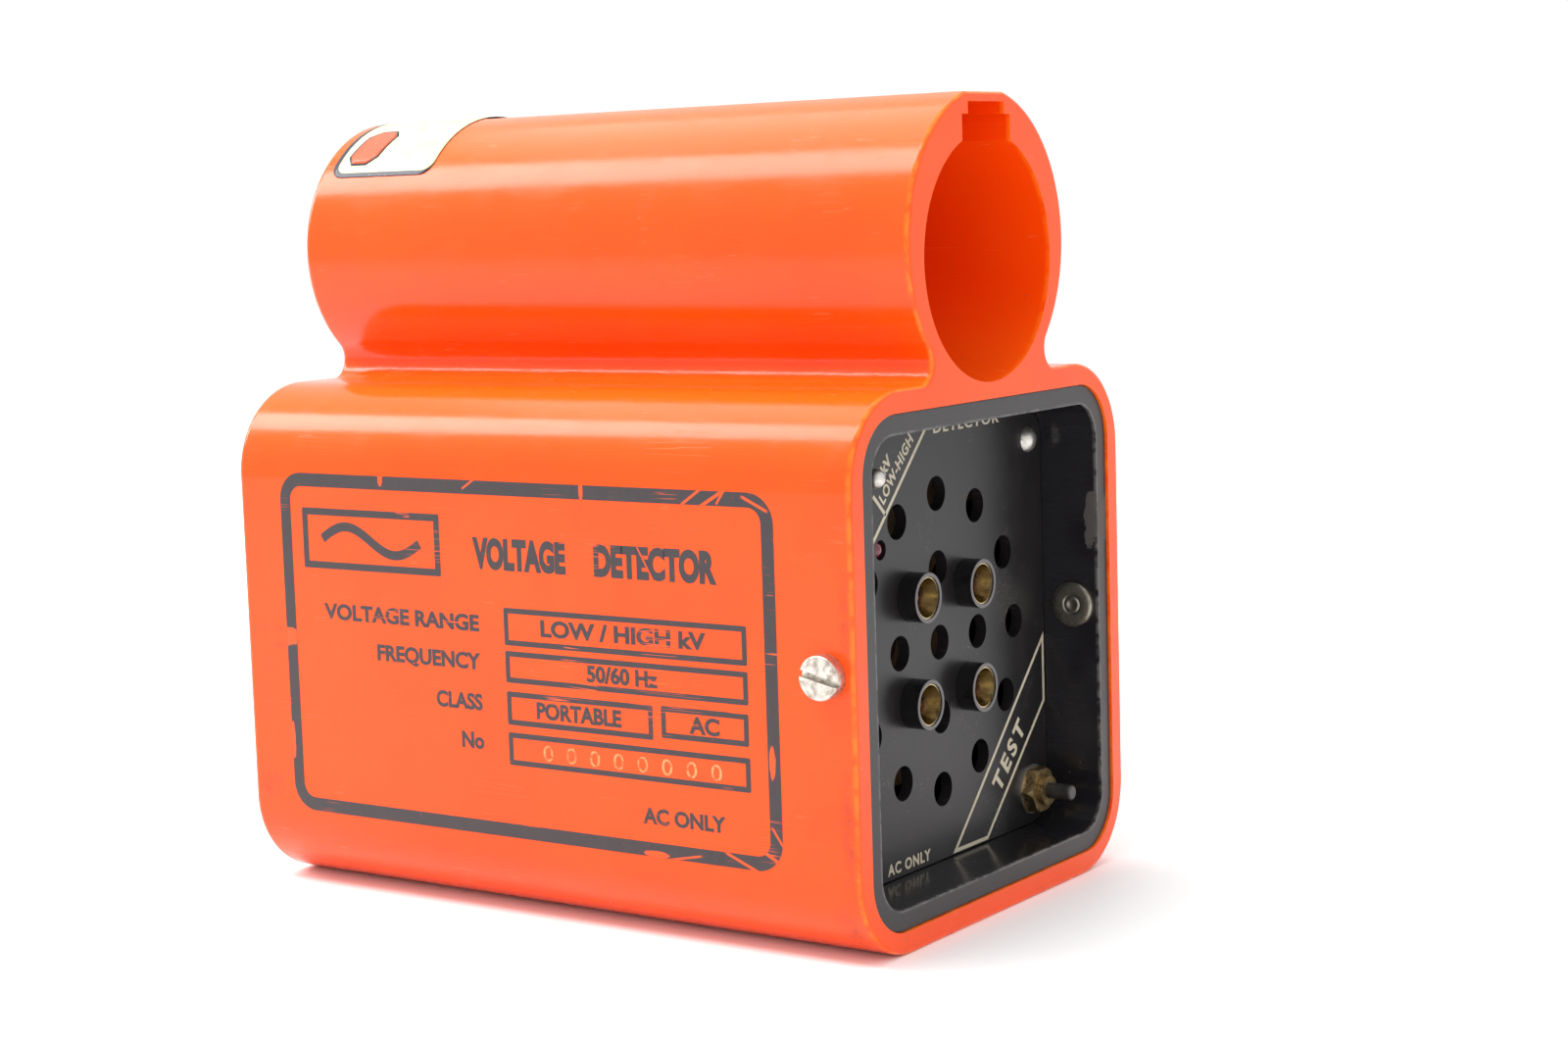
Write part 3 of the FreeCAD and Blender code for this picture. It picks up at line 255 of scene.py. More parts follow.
def scrape(finish, start, end, half):
    """A straight scratch on the side's plane, tapered to its ends."""
    length = sqrt((end[0] - start[0]) ** 2 + (end[1] - start[1]) ** 2)
    along = ((end[0] - start[0]) / length, (end[1] - start[1]) / length)
    u = finish.x - start[0]
    v = finish.z - start[1]
    run = u * along[0] + v * along[1]
    off = v * along[0] - u * along[1]
    ends = (run / length - 0.5).near(0.0, 0.55)
    return abs(off).rise(half, half * 0.4) * ends.rise(0.02, 0.3)


def orange_parts(finish, colours):
    """Colour, roughness and height of the orange moulding."""
    tone = finish.noise(0.035, 3.0, 0.55)
    colour = finish.mix(tone.rise(0.25, 0.75), colours.orange_deep, colours.orange)
    # painted light: where the surface faces up, the orange is mixed towards a paler, yellower
    # orange that stands in for the brighter light falling on top surfaces
    painted_top_light = finish.normal_axis("Z").rise(0.15, 0.95)
    colour = finish.mix(painted_top_light * 0.8, colour, colours.orange_painted_top_light)
    fine = finish.noise(1.6, 3.0, 0.6)
    long_scratches = finish.scratches((0, 62, 8), 0.9, 0.010, 60.0, 0.56)
    cross_scratches = finish.scratches((20, -35, 70), 1.1, 0.008, 45.0, 0.60, 31.0)
    hairlines = finish.scratches((0, 15, 30), 2.4, 0.012, 70.0, 0.50, 57.0)
    scratches = long_scratches.most(cross_scratches).most(hairlines * 0.5)
    colour = finish.mix(scratches * 0.10, colour, (1.0, 0.30, 0.10))

    # pale wear along the front edges, broken up by noise
    edge = finish.x.rise(FRONT - 1.0, FRONT - 0.3) * finish.noise(0.35, 3.0, 0.6).rise(0.30, 0.62)
    side_edge = edge * abs(finish.normal_axis("X")).rise(0.97, 0.75)
    colour = finish.mix(side_edge * 0.5, colour, (1.0, 0.26, 0.015))

    # grey-brown dirt in patches: near the ends, along the neck and low on the sides
    dirt_noise = finish.noise(0.55, 5.0, 0.7, None, 7.0)
    smudges = None
    for place, across, up in SMUDGED:
        patch = spot(finish, across, up, place, 1.0) * finish.y.rise(-20.0, -38.0)
        smudges = patch if smudges is None else smudges.most(patch)
    ends = finish.x.rise(FRONT - 4.0, FRONT) * 0.45 + finish.x.rise(BACK + 7.0, BACK) * 0.4
    neck = finish.z.near(85.5, 3.0) * 0.4
    low = finish.z.rise(9.0, 0.0) * 0.45
    dirt = (ends.most(neck).most(low) * dirt_noise.rise(0.58, 0.78)).most(
        smudges * dirt_noise.rise(0.34, 0.66) * 0.85)
    nicks = finish.specks(0.35, 0.10, 0.10, 3.0)
    dirt = dirt.most(nicks * 0.5)
    colour = finish.mix(dirt * 0.62, colour, (0.14, 0.030, 0.012))
    haze = finish.noise(0.2, 4.0, 0.6, None, 21.0).rise(0.45, 0.8)
    roughness = 0.15 + haze * 0.09 + dirt * 0.3 + scratches * 0.12 + fine * 0.03
    height = fine * 0.2 + finish.noise(0.22, 2.0, 0.5) * 2.2 - scratches * 0.5 + dirt * 0.5
    return colour, roughness, height


def orange_moulding(colours):
    finish = Finish("orange_moulding", ior=1.5, specular_ior_level=0.32, subsurface_weight=0.2,
                    subsurface_radius=(4.0, 0.9, 0.3), subsurface_scale=MM)
    colour, roughness, height = orange_parts(finish, colours)
    finish.bump(height, 0.012)
    return finish.set(base_color=colour, roughness=roughness)


def side_ink(colours):
    """Printed ink on the orange moulding, scraped through in places."""
    finish = Finish("side_ink", ior=1.5, specular_ior_level=0.4)
    colour, roughness, height = orange_parts(finish, colours)
    rub = finish.noise(0.8, 5.0, 0.7, None, 41.0)
    worn = rub.rise(0.72, 0.78)
    for place, across, up in RUBBED:
        patch = spot(finish, across, up, place, 1.3)
        worn = worn.most((patch * 0.55 + rub * 0.6).rise(0.50, 0.66))
    for start, end, half in SCRAPES:
        worn = worn.most(scrape(finish, start, end, half))
    long_scratches = finish.scratches((0, 62, 8), 0.9, 0.014, 60.0, 0.58)
    cross_scratches = finish.scratches((20, -35, 70), 1.1, 0.012, 45.0, 0.58, 31.0)
    speckle = finish.noise(3.5, 2.0, 0.6, None, 5.0).rise(0.70, 0.78) * 0.6
    worn = worn.most(long_scratches).most(cross_scratches).most(speckle)
    tone = finish.noise(0.5, 3.0, 0.6, None, 9.0)
    ink = finish.mix(tone, colours.ink, [c * 1.5 for c in colours.ink])
    finish.bump(height, 0.012)
    return finish.set(base_color=finish.mix(worn, ink, colour),
                      roughness=roughness * 0.6 + 0.22)


def recess_edge(finish):
    """Distance in mm outwards from the rounded edge of the recess, on the rim's face."""
    across = (abs(finish.y) - (RECESS_HALF_WIDTH - RECESS_CORNER)).most(0.0)
    up = (abs(finish.z - CENTRE_Z) - (RECESS_HALF_HEIGHT - RECESS_CORNER)).most(0.0)
    return (across * across + up * up) ** 0.5 - RECESS_CORNER


def case_plastic(colours):
    """Black moulded tray: glossy walls, and a rim scuffed to grey with a bright edge that is wear
    and a painted highlight.
    """
    finish = Finish("case_plastic", ior=1.5, specular_ior_level=0.4)
    fine = finish.noise(1.2, 4.0, 0.65)
    rim = finish.x.rise(RIM_FRONT - 0.25, RIM_FRONT - 0.05)
    # wear and painted highlight: a pale grey line along the recess edge on the rim's face stands in
    # for the light a rounded edge would catch
    edge = recess_edge(finish).near(0.05, 0.45) * finish.x.rise(RIM_FRONT - 0.8, RIM_FRONT - 0.1)
    edge = edge * finish.noise(0.6, 3.0, 0.6, None, 27.0).rise(0.34, 0.60)
    scratches = finish.scratches((0, 10, 80), 1.6, 0.02, 30.0, 0.42, 3.0)
    scuffed = (rim * (0.55 + fine * 0.4)).most(scratches * rim)
    colour = finish.mix(scuffed.clamp(), colours.case_black, colours.case_scuff)
    colour = finish.mix(edge * 0.8, colour, (0.17, 0.16, 0.155))
    patch = spot(finish, 2.0, 6.5, (PANEL_FRONT + 9.0, 58.0), 1.0) * finish.y.rise(25.0, 33.0)
    patch = (patch * 0.5 + finish.noise(0.5, 4.0, 0.65, None, 15.0)).rise(0.72, 0.86)
    dust = patch.most(finish.specks(0.55, 0.13, 0.12, 9.0) * 0.4)
    colour = finish.mix(dust * 0.8, colour, (0.095, 0.083, 0.075))
    roughness = 0.13 + scuffed * 0.28 + dust * 0.4 + edge * 0.2 + fine * 0.05
    height = fine * 0.6 + finish.noise(0.15, 2.0, 0.5) * 5.0 - scratches * 1.2
    finish.bump(height, 0.010)
    return finish.set(base_color=colour, roughness=roughness)


def panel_satin(colours):
    """Charcoal engraving laminate with a fine satin grain."""
    finish = Finish("panel_satin", ior=1.5, specular_ior_level=0.36)
    grain = finish.noise(9.0, 2.0, 0.6)
    cloud = finish.noise(0.12, 4.0, 0.6)
    scratches = finish.scratches((40, 0, 0), 1.3, 0.012, 40.0, 0.55, 17.0)
    dust = finish.specks(0.8, 0.10, 0.10, 2.0).most(finish.specks(0.30, 0.06, 0.35, 7.0))
    colour = finish.mix(cloud.rise(0.3, 0.7), colours.panel_dark, colours.panel)
    colour = finish.mix((dust * 0.45).most(scratches * 0.3), colour, (0.30, 0.28, 0.26))
    roughness = 0.25 + cloud * 0.10 + dust * 0.2 + grain * 0.04
    finish.bump(grain * 0.3 + cloud * 1.5 - scratches, 0.006)
    return finish.set(base_color=colour, roughness=roughness)


def panel_ink(colours):
    finish = Finish("panel_ink", ior=1.45)
    rub = finish.noise(1.6, 4.0, 0.7)
    worn = rub.rise(0.60, 0.74).most(finish.noise(7.0, 2.0, 0.6).rise(0.66, 0.78) * 0.6)
    tone = finish.noise(0.4, 2.0, 0.5)
    cream = finish.mix(tone, colours.panel_ink, [c * 0.8 for c in colours.panel_ink])
    finish.bump(rub, 0.01)
    return finish.set(base_color=finish.mix(worn * 0.7, cream, colours.panel),
                      roughness=0.5 + rub * 0.2)


def hood_coat(colours):
    """Glossy black hood whose rim is worn to a dull grey."""
    finish = Finish("hood_coat", ior=1.5, specular_ior_level=0.35)
    tip = box_mm("hood_upper_left")[1].x
    fine = finish.noise(2.5, 3.0, 0.6)
    rim = finish.x.rise(tip - 0.12, tip - 0.04) * (0.62 + fine * 0.5)
    colour = finish.mix(rim.clamp(), colours.hood, (0.135, 0.125, 0.13))
    roughness = 0.17 + rim * 0.25 + fine * 0.05
    finish.bump(fine, 0.006)
    return finish.set(base_color=colour, roughness=roughness)


def gilt_reflector():
    """Gilt funnels: bronze above and gold below as painted shade and a painted reflection, with
    polishing lines that run into the funnel.
    """
    finish = Finish("gilt_reflector", metallic=1.0)
    lines = finish.noise(3.2, 2.0, 0.6, finish.stretched((0, 0, 0), 16.0))
    blotch = finish.noise(1.1, 3.0, 0.6, None, 5.0)
    # painted light: upward-facing inner walls get gold as a painted reflection, downward-facing
    # ones dark bronze as painted shade
    painted_lit_lower = finish.normal_axis("Z").rise(-0.35, 0.35)
    colour = finish.mix(painted_lit_lower, (0.16, 0.125, 0.09), (0.62, 0.50, 0.24))
    colour = finish.mix(blotch.rise(0.45, 0.68) * 0.5, colour, (0.10, 0.06, 0.035))
    finish.bump(lines, 0.03)
    return finish.set(base_color=colour, roughness=0.14 + blotch * 0.08)


def worn_metal(name, bright, dark, roughness=0.28, grime=0.45):
    """Plated or bare metal with brushed lines, tarnish and grime."""
    finish = Finish(name, metallic=1.0)
    lines = finish.noise(5.0, 2.0, 0.6, finish.stretched((0, 30, 50), 14.0))
    blotch = finish.noise(0.9, 4.0, 0.65, None, 5.0)
    pits = finish.specks(1.6, 0.22, 0.25, 4.0)
    tarnish = blotch.rise(0.42, 0.70)
    colour = finish.mix(tarnish * grime, bright, dark)
    colour = finish.mix(pits * 0.6, colour, [c * 0.3 for c in dark])
    finish.bump(lines * 0.6 + blotch - pits * 2.0, 0.012)
    return finish.set(base_color=colour, roughness=roughness + tarnish * 0.22 + lines * 0.10,
                      metallic=1.0 - pits * 0.5)


def tinted_lens(colours):
    """Red lamp body."""
    finish = Finish("tinted_lens", ior=1.49, transmission_weight=0.2, coat_weight=0.5)
    cloud = finish.noise(1.2, 2.0, 0.5)
    colour = finish.mix(cloud, colours.lamp, [c * 0.6 for c in colours.lamp])
    finish.bump(cloud, 0.01)
    return finish.set(base_color=colour, roughness=0.05 + cloud * 0.05)


def plain_moulding(name, base, second=None, roughness=0.45, scale=1.0):
    """Small moulded, rubber or lacquered parts: mottled colour, grain and dust."""
    finish = Finish(name)
    grain = finish.noise(4.0 * scale, 3.0, 0.6)
    cloud = finish.noise(0.5 * scale, 3.0, 0.6, None, 8.0)
    dust = finish.specks(1.1 * scale, 0.14, 0.18, 6.0)
    colour = finish.mix(cloud.rise(0.3, 0.7), base, second or [c * 0.7 for c in base])
    colour = finish.mix(dust * 0.35, colour, (0.42, 0.38, 0.32))
    finish.bump(grain + cloud * 2.0, 0.015)
    return finish.set(base_color=colour, roughness=roughness + cloud * 0.15 + dust * 0.2)


def circuit_board(name, axes):
    """Green solder mask over copper tracks, with tinned pads on a 2.54 mm grid."""
    finish = Finish(name, ior=1.5, coat_weight=0.3)
    u, v = (getattr(finish, axis) for axis in axes)
    pitch = 2.54

    def wrapped(value):
        return abs(finish.node("ShaderNodeMath", {"operation": "FRACT"}, {0: value / pitch}) - 0.5)

    cell_u, cell_v = wrapped(u), wrapped(v)
    snapped = finish.vector("SNAP", finish.place, (pitch, pitch, pitch))
    lottery = finish.noise(0.9, 0.0, 0.5, snapped)
    tracks = cell_u.rise(0.12, 0.09) * lottery.rise(0.50, 0.52)
    tracks = tracks.most(cell_v.rise(0.12, 0.09) * lottery.rise(0.48, 0.46))
    pads = (cell_u * cell_u + cell_v * cell_v).rise(0.10, 0.08) * lottery.rise(0.56, 0.58)
    cloud = finish.noise(0.3, 3.0, 0.6)
    mask = finish.mix(cloud, (0.010, 0.10, 0.045), (0.016, 0.15, 0.06))
    colour = finish.mix(tracks * 0.6, mask, (0.05, 0.27, 0.10))
    colour = finish.mix(pads, colour, (0.55, 0.53, 0.50))
    finish.bump(tracks + pads, 0.03)
    return finish.set(base_color=colour, roughness=0.35 - pads * 0.1, metallic=pads * 0.8)


def sticker_film(colours):
    """Cream plastic film, yellowed and rubbed."""
    finish = Finish("sticker_film", ior=1.48)
    cloud = finish.noise(0.25, 4.0, 0.6)
    fine = finish.noise(2.2, 4.0, 0.65, None, 3.0)
    scratches = finish.scratches((0, 30, 10), 1.2, 0.012, 40.0, 0.5, 71.0)
    colour = finish.mix(cloud.rise(0.35, 0.7), colours.film, colours.film_aged)
    colour = finish.mix((fine.rise(0.60, 0.74) * 0.35).most(scratches * 0.5), colour,
                        (0.36, 0.29, 0.18))
    finish.bump(cloud * 3.0 + fine * 0.4 - scratches, 0.02)
    return finish.set(base_color=colour, roughness=0.28 + fine * 0.15)


def film_print(name, base):
    """Solid print on the sticker, rubbed thin in places."""
    finish = Finish(name, ior=1.48)
    rub = finish.noise(1.5, 4.0, 0.7, None, 6.0)
    colour = finish.mix(rub.rise(0.60, 0.76) * 0.7, base, (0.62, 0.55, 0.42))
    finish.bump(rub, 0.01)
    return finish.set(base_color=colour, roughness=0.32 + rub * 0.1)


# ---- mesh making


def add_piece(name, points, faces, material, slot, smooth=False, body=BODY):
    """Makes a mesh object from points in millimetres, gives it a finish and rides it on a body."""
    mesh = bpy.data.meshes.new(name)
    mesh.from_pydata([Vector(p) * MM for p in points], [], faces)
    work = bmesh.new()
    work.from_mesh(mesh)
    bmesh.ops.recalc_face_normals(work, faces=work.faces)
    work.to_mesh(mesh)
    work.free()
    for face in mesh.polygons:
        face.use_smooth = smooth
    mesh.materials.append(material)
    piece = bpy.data.objects.new(name, mesh)
    bpy.context.scene.collection.objects.link(piece)
    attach(piece, body)
    return piece


def give(node, material):
    """Puts a finish on a CAD node."""
    for one in NODES[node].material_slots:
        one.material = material


def film(loops_2d, place, thickness):
    """Closed thin solid between an outer and an inner loop; place(u, v, lift) gives its points."""
    outer, inner = loops_2d
    count = len(outer)
    points = []
    for lift in (-PRINT_SINK, thickness):
        points += [place(u, v, lift) for u, v in outer]
        points += [place(u, v, lift) for u, v in inner]
    faces = []
    top = 2 * count
    for i in range(count):
        j = (i + 1) % count
        a, b = count + i, count + j
        faces += [(i, j, b, a), (top + i, top + a, top + b, top + j),
                  (i, top + i, top + j, j), (a, b, top + b, top + a)]
    return points, faces


def rounded_loop(low, high, radius, steps=8):
    """Points round a rounded rectangle between two corners."""
    (u0, v0), (u1, v1) = low, high
    centres = ((u1 - radius, v1 - radius), (u0 + radius, v1 - radius),
               (u0 + radius, v0 + radius), (u1 - radius, v0 + radius))
    points = []
    for quarter, (cu, cv) in enumerate(centres):
        for step in range(steps + 1):
            angle = radians(90 * (quarter + step / steps))
            points.append((cu + radius * cos(angle), cv + radius * sin(angle)))
    return points


def frame_loops(low, high, radius, line):
    """Outer and inner loop of a rounded frame of one line width."""
    inner_low = (low[0] + line, low[1] + line)
    inner_high = (high[0] - line, high[1] - line)
    return (rounded_loop(low, high, radius),
            rounded_loop(inner_low, inner_high, max(radius - line, 0.05)))


def inset_polygon(corners, line):
    """The same polygon moved inwards by a line width; corners go round anticlockwise."""
    result = []
    count = len(corners)
    for i in range(count):
        before, here, after = (Vector(corners[(i + k) % count]) for k in (-1, 0, 1))
        first = (here - before).normalized()
        second = (after - here).normalized()
        left_first = Vector((-first.y, first.x))
        left_second = Vector((-second.y, second.x))
        bisector = (left_first + left_second).normalized()
        result.append(tuple(here + bisector * line / bisector.dot(left_first)))
    return result


def lettering(name, words, height, place, anchor, width=None, align="CENTER", thickness=0.03,
              turn=0.0, weight=0.0, spacing=1.0):
    """Points and faces of printed words as a thin closed solid.

    anchor is the (u, v) of the words' baseline; width squeezes them to a given length.
    """
    curve = bpy.data.curves.new(name, "FONT")
    curve.body = words
    curve.align_x = "LEFT"
    curve.size = 1.0
    curve.space_character = spacing
    curve.offset = weight
    curve.extrude = 0.01
    curve.resolution_u = 4
    holder = bpy.data.objects.new(name, curve)
    bpy.context.scene.collection.objects.link(holder)
    bpy.context.view_layer.update()
    mesh = bpy.data.meshes.new_from_object(holder)
    bpy.data.objects.remove(holder)
    xs = [v.co.x for v in mesh.vertices]
    ys = [v.co.y for v in mesh.vertices]
    cap = max(ys) - max(min(ys), 0.0)
    scale_v = height / cap
    scale_u = width / (max(xs) - min(xs)) if width else scale_v * 0.86
    span = (max(xs) - min(xs)) * scale_u
    start = {"LEFT": 0.0, "CENTER": -span / 2, "RIGHT": -span}[align]
    ca, sa = cos(radians(turn)), sin(radians(turn))
    points = []
    for vertex in mesh.vertices:
        u = start + (vertex.co.x - min(xs)) * scale_u
        v = vertex.co.y * scale_v
        lift = thickness if vertex.co.z > 0 else -PRINT_SINK
        points.append(place(anchor[0] + u * ca - v * sa, anchor[1] + u * sa + v * ca, lift))
    faces = [tuple(face.vertices) for face in mesh.polygons]
    bpy.data.meshes.remove(mesh)
    return points, faces


def joined(parts):
    """Several (points, faces) as one."""
    points = []
    faces = []
    for more_points, more_faces in parts:
        base = len(points)
        points += more_points
        faces += [tuple(base + i for i in face) for face in more_faces]
    return points, faces


def side_place(x, z, lift):
    """Point on the printed side of the housing, which narrows a little towards the back."""
    half = BACK_HALF_WIDTH + (FRONT_HALF_WIDTH - BACK_HALF_WIDTH) * (x - BACK) / LENGTH
    return x, -(half + lift), z


def panel_place(y, z, lift):
    """Point on the front panel."""
    return PANEL_FRONT + lift, y, z


# ---- user settings


def colour_property(name, description, default):
    return FloatVectorProperty(name=name, description=description, subtype="COLOR", size=3,
                               min=0.0, max=1.0, default=default)


def length_property(name, description, default):
    return FloatProperty(name=name, description=description, subtype="DISTANCE", unit="LENGTH",
                         min=0.0, default=default * MM)


class DetectorColours(bpy.types.PropertyGroup):
    """Colours of the detector head."""
    orange: colour_property("Orange", "Housing plastic", (0.90, 0.077, 0.0016))
    orange_deep: colour_property("Deep orange", "Housing plastic, deeper patches",
                                 (0.88, 0.066, 0.0010))
    # paler orange mixed into upward-facing surfaces of the housing as painted top light
    orange_painted_top_light: colour_property("Faded orange", "Housing plastic where the sun reaches it",
                                  (0.93, 0.128, 0.006))
    ink: colour_property("Side ink", "Ink of the side print", (0.030, 0.024, 0.026))
    case_black: colour_property("Case black", "Module case walls", (0.012, 0.011, 0.013))
    case_scuff: colour_property("Case scuffs", "Scuffed rim of the module case",
                                (0.034, 0.031, 0.033))
    panel: colour_property("Panel", "Front panel", (0.014, 0.0125, 0.0135))
    panel_dark: colour_property("Panel, dark", "Front panel, darker clouds",
                                (0.009, 0.008, 0.009))
    panel_ink: colour_property("Panel ink", "Cream print on the panel", (0.56, 0.50, 0.38))
    hood: colour_property("Lamp hood", "Coating of the lamp hoods", (0.010, 0.009, 0.010))
    lamp: colour_property("Lamp", "Red lamp bodies", (0.17, 0.008, 0.022))
    film: colour_property("Sticker", "Sticker film", (0.80, 0.74, 0.44))
    film_aged: colour_property("Aged sticker", "Yellowed sticker film", (0.76, 0.67, 0.36))


class DetectorSizes(bpy.types.PropertyGroup):
    """Sizes of prints and small parts."""
    frame_line: length_property("Frame line", "Width of the side print's frame line", 2.2)
    box_line: length_property("Box line", "Width of the value boxes' lines", 0.85)
    panel_line: length_property("Panel line", "Width of the lines on the panel", 0.6)
    ink_thickness: length_property("Ink thickness", "How far prints stand proud", 0.03)
    sticker_thickness: length_property("Sticker thickness", "Thickness of the film", 0.12)
    camera_distance: length_property("Camera distance", "From the target point", 466.2)
    camera_lens: FloatProperty(name="Lens", description="Focal length in millimetres", default=64.3)


def settings(context):
    return context.scene.detector_colours, context.scene.detector_sizes


def finish_all(finishes):
    """Puts finishes on CAD nodes: {material: (node, ...)}."""
    for material, nodes in finishes.items():
        for node in nodes:
            give(node, material)


# ---- the stage: floor, light and camera


def area_light(name, place, target, size, power):
    """White soft box at a place, facing a target, with its long side along X."""
    light = bpy.data.lights.new(name, "AREA")
    light.shape = "RECTANGLE"
    light.size, light.size_y = size
    light.energy = power
    holder = bpy.data.objects.new(name, light)
    back = (Vector(place) - Vector(target)).normalized()
    side = (Vector((1, 0, 0)) - back * back.x).normalized()
    matrix = Matrix((side, back.cross(side), back)).transposed().to_4x4()
    matrix.translation = Vector(place)
    holder.matrix_world = matrix
    bpy.context.scene.collection.objects.link(holder)


CAMERA_ANGLES = (34.402, 6.824, -1.768)
CAMERA_SHIFT = 0.017651
CAMERA_TARGET_Z = 0.058266


def aim_camera(sizes):
    """Camera round a target point by azimuth, elevation and a little roll."""
    azimuth, elevation, roll = (radians(angle) for angle in CAMERA_ANGLES)
    back = Vector((sin(azimuth) * cos(elevation), -cos(azimuth) * cos(elevation), sin(elevation)))
    right = (-back).cross(Vector((0, 0, 1))).normalized()
    up = right.cross(-back)
    side = right * cos(roll) + up * sin(roll)
    top = up * cos(roll) - right * sin(roll)
    place = right * CAMERA_SHIFT + Vector((0, 0, CAMERA_TARGET_Z)) + back * sizes.camera_distance
    camera = bpy.data.cameras.new("camera")
    camera.sensor_width = 36.0
    camera.lens = sizes.camera_lens
    camera.clip_start = 0.01
    camera.dof.use_dof = False
    holder = bpy.data.objects.new("camera", camera)
    matrix = Matrix((side, top, back)).transposed().to_4x4()
    matrix.translation = place
    holder.matrix_world = matrix
    bpy.context.scene.collection.objects.link(holder)
    bpy.context.scene.camera = holder


class DETECTOR_OT_stage(bpy.types.Operator):
    """Adds the pale floor, the soft studio light and the camera"""
    bl_idname = "detector.stage"
    bl_label = "Stage"

    def execute(self, context):
        sizes = settings(context)[1]
        finish = Finish("floor_paper", ior=1.4)
        cloud = finish.noise(0.01, 3.0, 0.5)
        paper = finish.mix(cloud, (0.94, 0.94, 0.94), (0.96, 0.96, 0.96))
        finish.bump(finish.noise(2.0, 3.0, 0.6), 0.01)
        material = finish.set(base_color=paper, roughness=0.55 + cloud * 0.1)
        reach = 6.0
        mesh = bpy.data.meshes.new("floor")
        mesh.from_pydata([(-reach, -reach, 0), (reach, -reach, 0), (reach, reach, 0),
                          (-reach, reach, 0)], [], [(0, 1, 2, 3)])
        mesh.materials.append(material)
        floor = bpy.data.objects.new("floor", mesh)
        context.scene.collection.objects.link(floor)
        world = bpy.data.worlds.new("studio")
        world.use_nodes = True
        background = next(n for n in world.node_tree.nodes if n.type == "BACKGROUND")
        background.inputs["Color"].default_value = (1.0, 1.0, 1.0, 1.0)
        background.inputs["Strength"].default_value = 1.07
        context.scene.world = world
        context.scene.view_settings.view_transform = "Standard"
        area_light("strip_box", (-0.50, -0.30, 0.79), (0, 0, 0.10), (1.6, 0.28), 12.5)
        area_light("roof_box", (-0.25, 0.20, 0.95), (0, 0, 0.08), (0.9, 0.6), 2.6)
        area_light("panel_box", (0.85, -0.25, 0.40), (0, 0, 0.06), (0.6, 0.5), 0.3)
        aim_camera(sizes)
        return {"FINISHED"}


# ---- the moulded shell and the tray


class DETECTOR_OT_housing(bpy.types.Operator):
    """Gives the orange moulding its worn plastic finish"""
    bl_idname = "detector.housing"
    bl_label = "Housing"

    def execute(self, context):
        colours = settings(context)[0]
        give("housing", orange_moulding(colours))
        return {"FINISHED"}


class DETECTOR_OT_case(bpy.types.Operator):
    """Gives the black tray, its seal and the panel their finishes"""
    bl_idname = "detector.case"
    bl_label = "Module case"

    def execute(self, context):
        colours = settings(context)[0]
        rubber = plain_moulding("seal_rubber", (0.012, 0.012, 0.012), roughness=0.6)
        finish_all({
            case_plastic(colours): ("module_case", "battery_tray"),
            rubber: ("rim_seal", "sounder_gasket"),
            panel_satin(colours): ("front_panel",),
        })
        return {"FINISHED"}


# ---- prints


def strip(points_2d, line, place, thickness):
    """Thin closed band between a polygon and its inset."""
    return film((points_2d, inset_polygon(points_2d, line)), place, thickness)


def stroke(start, end, line):
    """Corners of a straight line of the given width between two points."""
    along = (Vector(end) - Vector(start)).normalized() * line / 2
    across = Vector((-along.y, along.x))
    return [tuple(Vector(point) + side) for point, side in
            ((start, -across), (end, -across), (end, across), (start, across))]


def flat_solid(points_2d, place, thickness):
    """Thin closed solid over a convex outline."""
    count = len(points_2d)
    points = [place(u, v, -PRINT_SINK) for u, v in points_2d]
    points += [place(u, v, thickness) for u, v in points_2d]
    faces = [tuple(range(count)), tuple(range(2 * count - 1, count - 1, -1))]
    faces += [(i, (i + 1) % count, count + (i + 1) % count, count + i) for i in range(count)]
    return points, faces


VALUE_BOXES = (((-4.3, 44.1), (42.0, 50.0)), ((-4.3, 38.2), (42.0, 43.2)),
               ((-4.3, 31.5), (24.2, 36.8)), ((25.8, 32.0), (41.9, 36.9)),
               ((-4.3, 25.1), (42.0, 30.3)))
LABEL_RIGHT = -9.4
TITLE = 4.7
CAP = 2.55
# side print: words, height, (x, z) of the baseline, width, which end that point is at, weight
SIDE_WORDS = (("VOLTAGE", TITLE, (-10.1, 56.2), 18.6, "LEFT", 0.06),
              ("DETECTOR", TITLE, (14.0, 56.2), 23.0, "LEFT", 0.06),
              ("VOLTAGE RANGE", CAP, (LABEL_RIGHT, 46.0), 33.2, "RIGHT", 0.04),
              ("FREQUENCY", CAP, (LABEL_RIGHT, 39.9), 21.9, "RIGHT", 0.04),
              ("CLASS", CAP, (LABEL_RIGHT, 33.4), 9.6, "RIGHT", 0.04),
              ("No", CAP, (LABEL_RIGHT, 27.2), 4.6, "RIGHT", 0.04),
              ("LOW / HIGH kV", CAP, (18.8, 46.0), 31.6, "CENTER", 0.04),
              ("50/60 Hz", CAP, (18.6, 39.6), 13.6, "CENTER", 0.04),
              ("PORTABLE", CAP, (9.9, 33.0), 16.6, "CENTER", 0.04),
              ("AC", CAP, (33.8, 33.2), 5.6, "CENTER", 0.04),
              ("AC ONLY", 2.4, (37.2, 18.6), 15.5, "RIGHT", 0.04))
# panel print: words, height, (y, z) of the baseline's middle, width, turn, weight, spacing
PANEL_WORDS = (("TEST", 3.3, (22.1, 18.9), 13.0, 46, 0.035, 1.35),
               ("LOW-HIGH", 1.9, (-10.9, 69.9), 12.8, 45, 0.03, 1.1),
               ("kV", 1.9, (-13.8, 70.8), 3.0, 45, 0.04, 1.0),
               ("AC ONLY", 1.75, (-10.6, 8.1), 12.6, 0, 0.03, 1.15),
               ("DETECTOR", 1.6, (9.8, 75.0), 20.5, 0, 0.03, 1.2))


